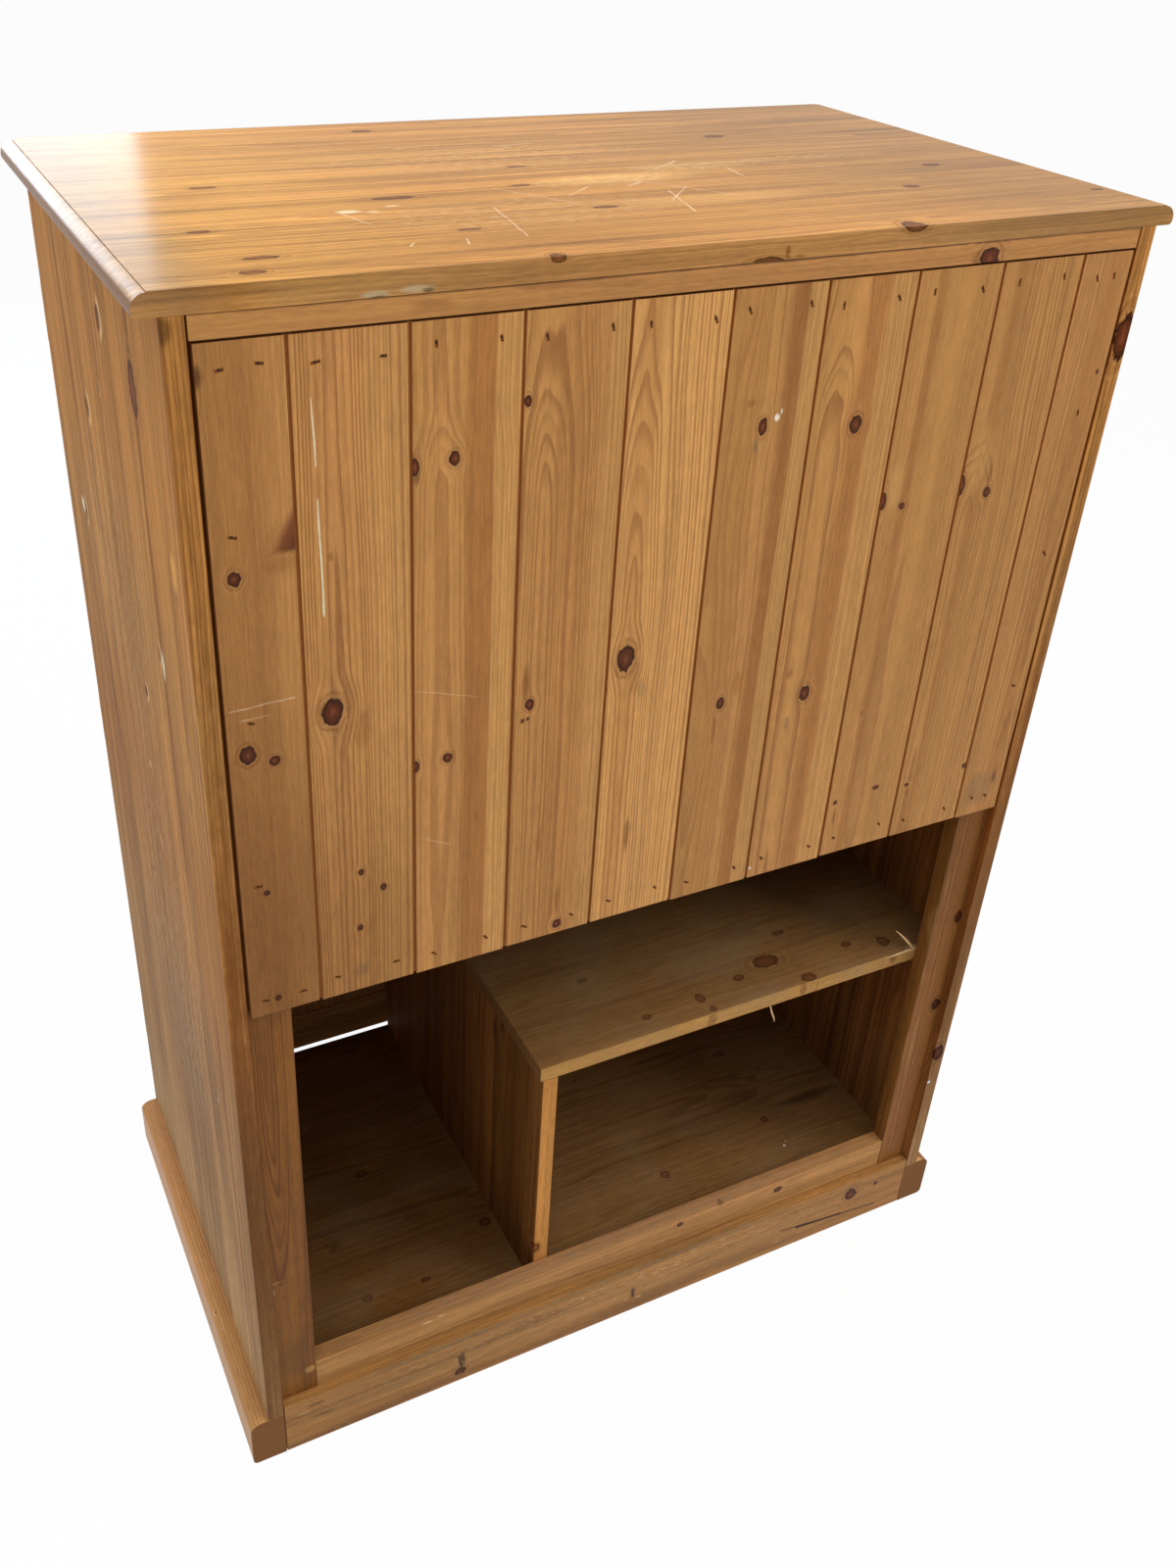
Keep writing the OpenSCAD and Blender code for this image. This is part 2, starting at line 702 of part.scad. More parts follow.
// Turned knob standing on z = 0
module turned_knob() {
    head_r = (knob_l - knob_neck_l) / 2;
    scotia_r = knob_neck_l / 2;
    difference() {
        rotate_extrude() {
            translate([0, knob_neck_l]) square([knob_r - head_r, knob_l - knob_neck_l]);
            translate([knob_r - head_r, knob_neck_l + head_r]) intersection() {
                circle(head_r);
                translate([0, -head_r]) square([head_r, 2 * head_r]);
            }
            difference() {
                square([knob_foot_r, knob_neck_l]);
                translate([knob_foot_r + scotia_r / 2, scotia_r + cut]) circle(scotia_r - cut);
            }
        }
        translate([0, 0, -cut])
            cylinder(r = knob_screw_r + screw_clear, h = knob_screw_depth + screw_clear + cut);
    }
}

module knob(s) {
    color(knob_pine) on_side(s)
        translate([stile_mid_x, y_door_face, knob_h]) rotate([90, 0, 0]) turned_knob();
}

module knob_screw(s) {
    color(steel_tone) on_side(s) translate([stile_mid_x, y_door_back, knob_h]) rotate([90, 0, 0]) {
        cylinder(r = knob_screw_r, h = door_t + knob_screw_depth);
        translate([0, 0, -knob_screw_head_t]) cylinder(r = knob_screw_head_r, h = knob_screw_head_t);
    }
}

module strike_plate(s) {
    z_mid = catch_z + catch_h / 2;
    color(steel_tone) on_side(s)
        block([stile_mid_x - strike_w / 2, y_door_back, z_mid - strike_h / 2],
              [stile_mid_x + strike_w / 2, y_door_back + strike_t, z_mid + strike_h / 2]);
}

module bottom_rail(s) { door_rail(s, bottom_rail_z, tenon_spans[0], false, true); }

module middle_rail(s) { door_rail(s, mid_rail_z, tenon_spans[1], true, true); }

module top_rail(s) { door_rail(s, top_rail_z, tenon_spans[2], true, false); }

top_slab();
on_side(-1) side_panel();  // side_panel_left
on_side(1) side_panel();  // side_panel_right
front_top_rail();
on_side(-1) plinth_side();  // plinth_side_left
on_side(1) plinth_side();  // plinth_side_right
plinth_front();
plinth_rear_rail();
floor_board();
floor_bearers();
floor_rear_rail();
divider();
shelf();
shelf_cleat();
back_cleat(-1);  // back_cleat_left
back_cleat(1);  // back_cleat_right
back_top_rail();
back_batten(board_top - batten_h);  // back_batten_top
back_batten(back_bottom_h);  // back_batten_bottom
back_board(1);  // back_board_1
back_board(2);  // back_board_2
back_board(3);  // back_board_3
back_board(4);  // back_board_4
back_board(5);  // back_board_5
back_board(6);  // back_board_6
back_board(7);  // back_board_7
back_board(8);  // back_board_8
back_board(9);  // back_board_9
back_board(10);  // back_board_10
back_nails();
hanging_rail();
rail_sockets();
magnetic_catches();
hinge_frame_leaves();
hinge_pins();
hinge_frame_screws();
hinge_stile(-1);  // left_hinge_stile
meeting_stile(-1);  // left_meeting_stile
top_rail(-1);  // left_top_rail
middle_rail(-1);  // left_middle_rail
bottom_rail(-1);  // left_bottom_rail
upper_panel(-1);  // left_upper_panel
lower_panel(-1);  // left_lower_panel
door_hinge_leaves(-1);  // left_hinge_leaves
door_hinge_screws(-1);  // left_hinge_screws
knob(-1);  // left_knob
knob_screw(-1);  // left_knob_screw
strike_plate(-1);  // left_strike_plate
hinge_stile(1);  // right_hinge_stile
meeting_stile(1);  // right_meeting_stile
top_rail(1);  // right_top_rail
middle_rail(1);  // right_middle_rail
bottom_rail(1);  // right_bottom_rail
upper_panel(1);  // right_upper_panel
lower_panel(1);  // right_lower_panel
door_hinge_leaves(1);  // right_hinge_leaves
door_hinge_screws(1);  // right_hinge_screws
knob(1);  // right_knob
knob_screw(1);  // right_knob_screw
strike_plate(1);  // right_strike_plate
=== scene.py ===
# Two-door pine wardrobe seen from behind: lacquered and bare pine, worn edges, nail marks and splinters.
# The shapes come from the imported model. The scene is in metres, and the grain and marks are in millimetres.
import json
import math
import random

import bmesh
import bpy
from mathutils import Matrix, Vector

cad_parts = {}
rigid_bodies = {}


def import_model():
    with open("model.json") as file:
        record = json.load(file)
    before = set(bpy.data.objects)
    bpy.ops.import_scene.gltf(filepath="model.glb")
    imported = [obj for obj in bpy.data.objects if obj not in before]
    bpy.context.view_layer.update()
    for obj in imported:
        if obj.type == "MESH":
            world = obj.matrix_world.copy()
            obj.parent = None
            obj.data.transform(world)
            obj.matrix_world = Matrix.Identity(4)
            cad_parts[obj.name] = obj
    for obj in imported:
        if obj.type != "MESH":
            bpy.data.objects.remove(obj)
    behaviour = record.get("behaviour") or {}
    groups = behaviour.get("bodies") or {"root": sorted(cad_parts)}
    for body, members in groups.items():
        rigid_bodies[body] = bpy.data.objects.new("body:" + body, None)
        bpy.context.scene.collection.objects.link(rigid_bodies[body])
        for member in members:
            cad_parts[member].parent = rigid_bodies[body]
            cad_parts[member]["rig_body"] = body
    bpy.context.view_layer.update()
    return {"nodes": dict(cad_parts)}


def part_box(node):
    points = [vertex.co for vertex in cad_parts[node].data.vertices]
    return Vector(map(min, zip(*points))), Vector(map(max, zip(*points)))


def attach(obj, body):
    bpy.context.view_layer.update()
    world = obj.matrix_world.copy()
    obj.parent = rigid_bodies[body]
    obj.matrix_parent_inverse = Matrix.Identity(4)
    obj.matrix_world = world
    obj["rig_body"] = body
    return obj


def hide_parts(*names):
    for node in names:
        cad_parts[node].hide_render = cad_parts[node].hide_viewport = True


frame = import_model()
nodes = frame["nodes"]
scene = bpy.context.scene
scene.view_settings.view_transform = "Standard"
mm = 0.001


def screen(red, green, blue):  # a colour as a screen shows it, 0 to 255, made linear for a socket
    def part(c):
        c /= 255
        return c / 12.92 if c <= 0.04045 else ((c + 0.055) / 1.055) ** 2.4
    return (part(red), part(green), part(blue), 1)


# Shader wiring

noiseSteps = (7.31, 3.77, 5.93)  # how far apart two seeds lie in the noise, along each axis
noiseSpan = 97


class Wire:  # one output socket that can be added, multiplied and so on
    def __init__(self, graph, socket):
        self.graph = graph
        self.socket = socket

    def __add__(self, other):
        return self.graph.math("ADD", self, other)

    def __sub__(self, other):
        return self.graph.math("SUBTRACT", self, other)

    def __rsub__(self, other):
        return self.graph.math("SUBTRACT", other, self)

    def __mul__(self, other):
        return self.graph.math("MULTIPLY", self, other)

    def __truediv__(self, other):
        return self.graph.math("DIVIDE", self, other)

    __radd__ = __add__
    __rmul__ = __mul__


class Graph:  # the node tree of a material or of the world
    def __init__(self, owner):
        self.owner = owner
        owner.use_nodes = True
        self.tree = owner.node_tree
        self.tree.nodes.clear()

    def node(self, kind, settings=None, inputs=None, out=0):
        made = self.tree.nodes.new("ShaderNode" + kind)
        for name, value in (settings or {}).items():
            setattr(made, name, value)
        for name, value in (inputs or {}).items():
            if isinstance(value, Wire):
                self.tree.links.new(value.socket, made.inputs[name])
            else:
                made.inputs[name].default_value = value
        return Wire(self, made.outputs[out]) if made.outputs else None

    def place(self):  # where a point of the piece is, in millimetres
        return self.vector("SCALE", self.node("TexCoord", out="Object"), scale=1 / mm)

    def math(self, operation, *values):
        return self.node("Math", {"operation": operation}, dict(enumerate(values)))

    def vector(self, operation, *values, scale=None, out=0):
        inputs = dict(enumerate(values))
        if scale is not None:
            inputs["Scale"] = scale
        return self.node("VectorMath", {"operation": operation}, inputs, out)

    def length(self, value):
        return self.vector("LENGTH", value, out="Value")

    def parts(self, value):
        made = self.node("SeparateXYZ", inputs={0: value}).socket.node
        return [Wire(self, socket) for socket in made.outputs]

    def ramp(self, value, low, high, start=0, end=1):
        inputs = {0: value, 1: low, 2: high, 3: start, 4: end}
        return self.node("MapRange", {"interpolation_type": "SMOOTHSTEP"}, inputs)

    def mix(self, share, first, second):
        return self.node("Mix", {"data_type": "RGBA"}, {0: share, 6: first, 7: second}, out=2)

    def noise(self, point, sizes, seed, detail, out=0):  # each seed reads another part of the noise
        stretch = [1 / size for size in sizes]
        shift = [seed * step % noiseSpan for step in noiseSteps]
        place = self.vector("MULTIPLY_ADD", point, stretch, shift)
        return self.node("TexNoise", inputs={"Vector": place, "Scale": 1, "Detail": detail}, out=out)

    def wave(self, value, seed):  # smooth noise along one number
        return self.node("TexNoise", {"noise_dimensions": "1D"}, {"W": value + seed, "Scale": 1, "Detail": 1})

    def chance(self, value, out=0):  # one random number, or three, for each whole number
        return self.node("TexWhiteNoise", {"noise_dimensions": "1D"}, {"W": value}, out)

    def seen(self):  # 1 for what the camera sees, straight on or in a gloss
        rays = [self.node("LightPath", out=f"Is {kind} Ray") for kind in ("Camera", "Glossy", "Transmission")]
        return self.math("MAXIMUM", self.math("MAXIMUM", rays[0], rays[1]), rays[2])

    def bump(self, height, strength, distance):
        return self.node("Bump", inputs={"Height": height, "Strength": strength, "Distance": distance})

    def surface(self, **values):
        names = {"colour": "Base Color", "roughness": "Roughness", "normal": "Normal", "metallic": "Metallic",
                 "coat": "Coat Weight", "coatRoughness": "Coat Roughness", "specular": "Specular IOR Level"}
        inputs = {names[key]: value for key, value in values.items()}
        self.node("OutputMaterial", inputs={0: self.node("BsdfPrincipled", inputs=inputs)})
        return self.owner


# Pine: growth rings round a pith line, pushed aside by knots, with fibre, bands, marks, dirt, and painted
# light and shade over them

pineTones = {name: screen(*tone) for name, tone in {
    "late": (154, 104, 60), "pink": (192, 136, 84), "gold": (188, 140, 78), "heart": (158, 103, 54),
    "sap": (200, 152, 92), "knot": (88, 44, 22), "knotHeart": (120, 66, 40), "knotEdge": (50, 25, 10),
    "halo": (200, 153, 104), "stain": (132, 84, 43), "endGrain": (106, 66, 30), "recess": (182, 118, 62),
    "scratchAndHighlight": (228, 200, 160), "smudge": (122, 100, 74), "barkAndShadow": (62, 37, 20), "dust": (152, 130, 100),
    "fresh": (232, 190, 132), "filler": (186, 160, 138), "white": (244, 236, 222), "bare": (168, 128, 100),
}.items()}

grain = {  # size across, size along, detail, and a shift that sets each pattern apart
    "fibre": (0.9, 30, 3, 0),
    "streak": (5, 240, 3, 3),
    "broad": (24, 520, 2, 15),
    "drift": (45, 420, 2, 5),
    "mottle": (12, 26, 5, 7),
    "grit": (1.8, 13, 3, 25),
    "swirl": (13, 20, 2, 11),
    "knurl": (4, 8, 3, 13),
    "speck": (1.8, 11, 4, 21),
    "dust": (60, 90, 4, 8),
}
seedRange = (1, 60)

# Below, (from, to) ends are where a mask is 0 and where it is 1, and a third number is its strength
grainLook = {
    "fibre": 0.34, "grit": 0.42, "drift": 0.2, "mottle": 0.24, "broad": 1.2,
    "pores": (0.62, 0.74, 0.14), "sheen": (0.4, 0.28, 0.08), "darkStreaks": (0.08, -0.3, 0.6),
    "fibreRaised": 0.5, "lateRaised": 0.5, "roughVaries": 0.2,
}
bandLook = {"drift": 10, "streak": 6, "rings": 0.5}  # how far a band's edge wanders, and its rings
ringLook = {
    "swayDeep": 1.6,
    "bunching": 0.07, "bunchBy": 3,  # the rings crowd together and spread
    "late": (0.3, 0.88), "end": (1.0, 0.93),  # the part of a ring over which it darkens, and where it ends
    "faintest": 0.4,
    "streaked": (0.8, 0.6),
}
stripLook = {
    "waver": 1.2,
    "pithSpan": 1.6, "pithShift": 0.3,  # each strip's pith has a place of its own, in strip widths
    "depthSpan": 45, "depthShift": 15,
    "glue": (0.9, 0.2), "glueShade": 0.3, "glueSunk": 0.6,
}
knotLook = {  # distances from a knot's middle count 1 at its rim
    "deep": 40,
    "push": (0.7, 3.8, 0.75, 0),  # between these distances the grain gives way, by these shares
    "reach": 0.88, "mottled": 0.4, "knurled": 0.65,
    "swirled": 2.2, "swirlFrom": (0.9, 2.6),
    "rings": 9.5, "ringsFade": (3.0, 1.2), "ringsBroken": (0.25, 0.6),
    "shadow": (2.0, 0.95, 0.35), "paleRings": (0.0, 0.9, 0.26), "darkRings": (-0.35, -0.95, 0.5),
    "heart": (0.1, 0.5), "heartRagged": 0.9,
    "edge": (0.6, 0.95), "core": (1.1, 0.92), "sunk": 0.8,
}
spikeLook = {
    "ragged": 7, "raggedFoot": 9, "rim": (-1, 9), "foot": (-2, 4), "heart": (4, 20), "shade": 0.9,
    "ripples": 2.4, "rippleWidth": (-0.2, -0.9), "rippleNear": (-16, -2),
    "rippleFrom": (0.35, 0.6), "rippleTo": (1.5, 1.1, 0.5),
}
markLook = {"deep": 12, "streaked": 0.7, "mottled": 0.6, "rim": (1.15, 0.45), "specks": (0.48, 0.64)}
dentLook = {
    "deep": 6, "ragged": 0.7, "rim": (1.9, 1.2), "rimShade": 0.8, "lit": (-0.3, 0.8),
    "pressed": (1.05, 0.7), "sunk": 2,
}
lineLook = {"waver": 6, "core": 0.3, "tip": 3, "sunk": 0.5, "broken": 1.8, "gaps": 0.3}
dirtAndShadeLook = {
    "from": 0.4, "recess": 0.85, "recessRough": 0.2, "bareAndShadeTint": (0.62, 0.42, 0.26), "bareRough": 0.2,
    "dust": (0.35, 0.75), "dustRough": 0.25,
}
endLook = {"from": (0.75, 0.9), "rings": (0.2, 0.8, 0.6), "rough": 0.2}

pineLook = {  # what every piece starts from
    "pith": (0, 30),  # place across the piece, and depth below its face
    "rise": None,  # (low end, high end, depth there, depth there) where the face cuts across the rings
    "pitch": 4.0,
    "sway": 14,
    "contrast": 0.7,
    "tone": 1.0,
    "tint": None,  # a colour multiplier over the whole piece
    "fades": [],  # (from, to, tint) along the piece: painted light and shade
    "strips": None,  # (edge, width) of the glued strips in a wide piece
    "stripTone": 0.16,  # how much the strips differ
    "bands": [],  # (from, to, softness there, softness there, tone, strength)
    "knotty": 1.0,  # how dark the knots are
    "knots": [],  # (across, along, radius across, radius along), or centre and radii in space
    "patches": [],  # (across, along, radius across, radius along, tone, strength), or in space
    "scuffs": [],  # as patches, but broken up into specks
    "dents": [],  # (across, along, half width, half length, strength), each with a pale rim that is a painted highlight on one side
    "scratches": [],  # (across, along, across, along, half width, strength)
    "cracks": [],  # as scratches, but dark and sunk
    "spike": None,  # (edge, top, foot, width) of a knot sawn lengthwise
    "streaky": 0.3,
    "fine": 1.35,  # how strong the small fibres are
    "recess": None,  # depth below the face at which dirt starts
    "dusty": 0.0,
    "inside": None,  # (axis, from, to) where the finish turns to bare and dark, the darkness partly painted shade
    "ends": 0.85,  # how dark the end grain goes
    "rough": 0.5,
    "glossFrom": None,  # (from, to, weight) along the piece where a coat of gloss grows
    "coatRough": 0.2,
    "specular": 0.12,
    "relief": 0.3,
    "reliefDeep": 0.35,
}


# Its axes are along the grain and into the wood, and face is where its face lies on the second one
def pine(name, along, deep, face, facing=1, **changes):
    look = {**pineLook, **changes}
    seed = random.Random(name).uniform(*seedRange)
    graph = Graph(bpy.data.materials.new(name))
    mix, ramp = graph.mix, graph.ramp
    spot = graph.place()
    alongAxis, deepAxis = "xyz".index(along), "xyz".index(deep)
    acrossAxis = 3 - alongAxis - deepAxis

    def spread(acrossSize, alongSize, deepSize):
        sizes = [0, 0, 0]
        sizes[acrossAxis] = acrossSize
        sizes[alongAxis] = alongSize
        sizes[deepAxis] = deepSize
        return sizes

    def texture(kind, at, out=0):
        acrossSize, alongSize, detail, shift = grain[kind]
        return graph.noise(at, spread(acrossSize, alongSize, acrossSize), seed + shift, detail, out)

    def tinge(share, tone):  # the colour so far, with some of a tone over it
        return mix(share, colour, pineTones[tone])

    def shareOf(value, ends, by=1):
        start, end, strength = ends
        return ramp(value, start, end) * (strength * by)

    def reachOf(mark, depth):  # how far a point is from a mark, 1 at the mark's rim
        if isinstance(mark[0], tuple):
            centre, radii = mark[:2]
        else:
            centre, radii = spread(mark[0], mark[1], face), spread(mark[2], mark[3], depth)
        offset = graph.vector("SUBTRACT", spot, centre)
        return offset, graph.length(graph.vector("MULTIPLY", offset, [1 / radius for radius in radii]))

    # Knots push the grain aside, and the nearest one colours the wood
    point = spot
    nearest = None
    for knot in look["knots"]:
        offset, reach = reachOf(knot, knotLook["deep"])
        push = ramp(reach, *knotLook["push"])
        point = graph.vector("SUBTRACT", point, graph.vector("SCALE", offset, scale=push))
        nearest = reach if nearest is None else graph.math("MINIMUM", nearest, reach)

    place = graph.parts(point)
    flat = graph.parts(spot)
    fibre = texture("fibre", spot)
    streak = texture("streak", point)
    broad = texture("broad", point)
    drift = graph.parts(texture("drift", spot, out=1))
    mottle = texture("mottle", spot)
    grit = texture("grit", spot)

    # Rings
    sideways = place[acrossAxis] - look["pith"][0]
    inward = (face - place[deepAxis]) * facing + look["pith"][1]
    shade = look["tone"]
    glue = None
    if look["strips"]:
        edge, width = look["strips"]
        count = (flat[acrossAxis] + (streak - 0.5) * stripLook["waver"] - edge) / width
        whole = graph.math("FLOOR", count)
        chances = graph.parts(graph.chance(whole + seed, out=1))
        inStrip = (count - whole) * width
        sideways = inStrip - chances[0] * (width * stripLook["pithSpan"]) + width * stripLook["pithShift"]
        inward = inward + chances[1] * stripLook["depthSpan"] - stripLook["depthShift"]
        shade = shade * ((chances[2] - 0.5) * look["stripTone"] + 1)
        glue = ramp(graph.math("MINIMUM", inStrip, width - inStrip), *stripLook["glue"])
    if look["rise"]:
        low, high, depthLow, depthHigh = look["rise"]
        inward = inward + ramp(place[alongAxis], low, high, depthLow, depthHigh)
    sideways = sideways + (drift[0] - 0.5) * look["sway"]
    inward = inward + (drift[1] - 0.5) * (look["sway"] * ringLook["swayDeep"])
    radius = graph.length(graph.node("CombineXYZ", inputs={0: sideways, 1: inward}))
    phase = radius / look["pitch"] + graph.wave(radius * ringLook["bunching"], seed) * ringLook["bunchBy"]
    ringEdge = graph.math("FRACT", phase)
    strength = graph.chance(graph.math("FLOOR", phase)) * (1 - ringLook["faintest"]) + ringLook["faintest"]
    late = ramp(ringEdge, *ringLook["late"]) * ramp(ringEdge, *ringLook["end"]) * strength
    late = late * (streak * ringLook["streaked"][0] + ringLook["streaked"][1])
    early = mix(drift[1], pineTones["pink"], pineTones["gold"])
    colour = mix(late * look["contrast"], early, pineTones["late"])

    # Heartwood and sapwood bands, then streaks and fibres
    wavy = (drift[2] - 0.5) * bandLook["drift"] + (streak - 0.5) * bandLook["streak"]
    for start, end, softStart, softEnd, tone, amount in look["bands"]:
        position = place[acrossAxis] + wavy
        begun = ramp(position, start - softStart, start + softStart)
        inside = begun * ramp(position, end + softEnd, end - softEnd)
        banded = mix(late * bandLook["rings"], pineTones[tone], pineTones["late"])
        colour = mix(inside * amount, colour, banded)
    fine, streaky = look["fine"], look["streaky"]
    streaks = (streak - 0.5) * streaky + (broad - 0.5) * (streaky * grainLook["broad"])
    uneven = (fibre - 0.5) * (grainLook["fibre"] * fine) + (grit - 0.5) * (grainLook["grit"] * fine)
    uneven = uneven + (drift[2] - 0.5) * grainLook["drift"] + (mottle - 0.5) * grainLook["mottle"]
    uneven = uneven + streaks + 1
    uneven = uneven - shareOf(grit, grainLook["pores"], fine) + shareOf(grit, grainLook["sheen"], fine)
    colour = tinge(shareOf(streaks, grainLook["darkStreaks"], streaky), "late")
    colour = graph.vector("SCALE", colour, scale=shade * uneven)

    # Stains, worn places and painted shadows
    for mark in look["patches"] + look["scuffs"]:
        reach = reachOf(mark, markLook["deep"])[1]
        torn = reach + (streak - 0.5) * markLook["streaked"] + (mottle - 0.5) * markLook["mottled"]
        mask = ramp(torn, *markLook["rim"])
        if mark in look["scuffs"]:
            mask = mask * ramp(texture("speck", spot), *markLook["specks"])
        colour = mix(mask * mark[-1], colour, graph.vector("SCALE", pineTones[mark[-2]][:3], scale=uneven))

    height = fibre * grainLook["fibreRaised"] + late * grainLook["lateRaised"]
    rough = (streak - 0.5) * grainLook["roughVaries"] + look["rough"]

    if nearest is not None:  # pale and dark rings round the knot, then its rim and its heart
        swirl, knurl, knotty = texture("swirl", spot), texture("knurl", spot), look["knotty"]
        rugged = nearest * knotLook["reach"] + (mottle - 0.5) * knotLook["mottled"]
        rugged = rugged + (knurl - 0.5) * knotLook["knurled"]
        swollen = rugged + (swirl - 0.5) * ramp(rugged, *knotLook["swirlFrom"]) * knotLook["swirled"]
        near = ramp(swollen, *knotLook["ringsFade"])
        broken = ramp(knurl + (swirl - 0.5), *knotLook["ringsBroken"])
        ringed = graph.math("SINE", (swollen - 1) * knotLook["rings"]) * near * broken
        colour = tinge(shareOf(rugged, knotLook["shadow"], knotty), "stain")
        colour = tinge(shareOf(ringed, knotLook["paleRings"], knotty), "halo")
        colour = tinge(shareOf(ringed, knotLook["darkRings"], knotty), "stain")
        heart = ramp(rugged + (fibre - 0.5) * knotLook["heartRagged"], *knotLook["heart"])
        rim = ramp(rugged, *knotLook["edge"])
        inner = mix(rim, mix(heart, pineTones["knotHeart"], pineTones["knot"]), pineTones["knotEdge"])
        core = ramp(rugged, *knotLook["core"])
        colour = mix(core * knotty, colour, inner)
        height = height - core * rim * knotLook["sunk"]
    if look["spike"]:
        edge, top, foot, width = look["spike"]
        rise = (top - flat[alongAxis]) / (top - foot)
        rim = rise * width + edge - flat[acrossAxis] + (mottle - 0.5) * spikeLook["ragged"]
        lower = flat[alongAxis] + (mottle - 0.5) * spikeLook["raggedFoot"] - foot
        mask = ramp(rim, *spikeLook["rim"]) * ramp(lower, *spikeLook["foot"])
        sawn = mix(ramp(rim, *spikeLook["heart"]), pineTones["knotHeart"], pineTones["knot"])
        ripple = ramp(graph.math("SINE", rim * spikeLook["ripples"]), *spikeLook["rippleWidth"])
        ripple = ripple * ramp(rim, *spikeLook["rippleNear"]) * ramp(rise, *spikeLook["rippleFrom"])
        colour = tinge(ripple * shareOf(rise, spikeLook["rippleTo"]), "stain")
        colour = mix(mask * spikeLook["shade"], colour, sawn)
    if glue is not None:
        colour = tinge(glue * stripLook["glueShade"], "late")
        height = height - glue * stripLook["glueSunk"]

    for dent in look["dents"]:
        offset, reach = reachOf(dent, dentLook["deep"])
        torn = reach + (mottle - 0.5) * dentLook["ragged"]
        # The pale rim is a painted highlight, on the rim's lit side only, and the pressed middle is darkened
        lit = ramp(graph.parts(offset)[acrossAxis], *(dent[2] * share for share in dentLook["lit"]))
        rim = ramp(torn, *dentLook["rim"]) * lit
        colour = tinge(rim * (dent[4] * dentLook["rimShade"]), "scratchAndHighlight")
        pressed = ramp(torn, *dentLook["pressed"])
        colour = tinge(pressed * dent[4], "knot")
        height = height - pressed * dentLook["sunk"]

    if look["tint"]:
        colour = graph.vector("MULTIPLY", colour, look["tint"])
    # Painted light and shade: the colour is tinted over a stretch along the piece
    for start, end, tint in look["fades"]:
        reached = ramp(flat[alongAxis] + wavy, start, end)
        colour = mix(reached, colour, graph.vector("MULTIPLY", colour, tint))

    # Scratches catch pale light and cracks go dark
    for line in look["scratches"] + look["cracks"]:
        startU, startV, endU, endV, halfWidth, amount = line
        span = Vector((endU - startU, endV - startV))
        way = span.normalized()
        local = graph.node("CombineXYZ", inputs={0: flat[acrossAxis] - startU, 1: flat[alongAxis] - startV})
        run = graph.vector("DOT_PRODUCT", local, (way.x, way.y, 0), out="Value")
        aside = graph.vector("DOT_PRODUCT", local, (-way.y, way.x, 0), out="Value")
        aside = graph.math("ABSOLUTE", aside + (drift[0] - 0.5) * lineLook["waver"])
        mask = ramp(aside, halfWidth, halfWidth * lineLook["core"])
        mask = mask * ramp(run, 0, lineLook["tip"]) * ramp(run, span.length, span.length - lineLook["tip"])
        if line in look["cracks"]:
            colour = tinge(mask * amount, "barkAndShadow")
            height = height - mask * lineLook["sunk"]
        else:
            broken = mottle * lineLook["broken"] - lineLook["gaps"]
            colour = tinge(mask * broken * amount, "scratchAndHighlight")

    if look["recess"] is not None:
        depth = (face - flat[deepAxis]) * facing
        dirt = ramp(depth, look["recess"] * dirtAndShadeLook["from"], look["recess"])
        colour = tinge(dirt * dirtAndShadeLook["recess"], "recess")
        rough = rough + dirt * dirtAndShadeLook["recessRough"]
    # Inside faces: bare wood, darkened partly by painted shade
    if look["inside"]:
        axis, start, end = look["inside"]
        bare = ramp(flat["xyz".index(axis)], start, end)
        colour = mix(bare, colour, graph.vector("MULTIPLY", colour, dirtAndShadeLook["bareAndShadeTint"]))
        rough = rough + bare * dirtAndShadeLook["bareRough"]
    if look["dusty"]:
        dust = ramp(texture("dust", spot), *dirtAndShadeLook["dust"]) * look["dusty"]
        colour = tinge(dust, "dust")
        rough = rough + dust * dirtAndShadeLook["dustRough"]

    # End grain drinks the finish and goes dark
    axisVector = [1 if axis == along else 0 for axis in "xyz"]
    facingEnd = graph.vector("DOT_PRODUCT", graph.node("TexCoord", out="Normal"), axisVector, out="Value")
    end = ramp(graph.math("ABSOLUTE", facingEnd), *endLook["from"])
    endTone = mix(shareOf(ringEdge, endLook["rings"]), pineTones["endGrain"], pineTones["stain"])
    colour = mix(end * look["ends"], colour, endTone)
    rough = rough + end * endLook["rough"]
    coat = 0
    if look["glossFrom"]:
        start, end, weight = look["glossFrom"]
        coat = ramp(flat[alongAxis], start, end, 0, weight)
    normal = graph.bump(height, look["relief"], look["reliefDeep"] * mm)
    return graph.surface(colour=colour, roughness=rough, normal=normal, coat=coat,
                         coatRoughness=look["coatRough"], specular=look["specular"])


def pieceFrom(name, shape):  # an object with the shape of a bmesh
    mesh = bpy.data.meshes.new(name)
    shape.to_mesh(mesh)
    shape.free()
    piece = bpy.data.objects.new(name, mesh)
    scene.collection.objects.link(piece)
    return piece


# A worn copy of a model part: merged, its long edges eased, and its curved strips smooth

wearLook = {
    "merge": 0.01,
    "flat": math.radians(0.5),  # faces that meet at less than this become one
    "sharp": math.radians(50),  # edges keener than this are eased
    "shortest": 5,
    "steps": 2,
    "strip": 3.5,  # narrower faces belong to curves and eased edges
    "crease": math.radians(40),
}


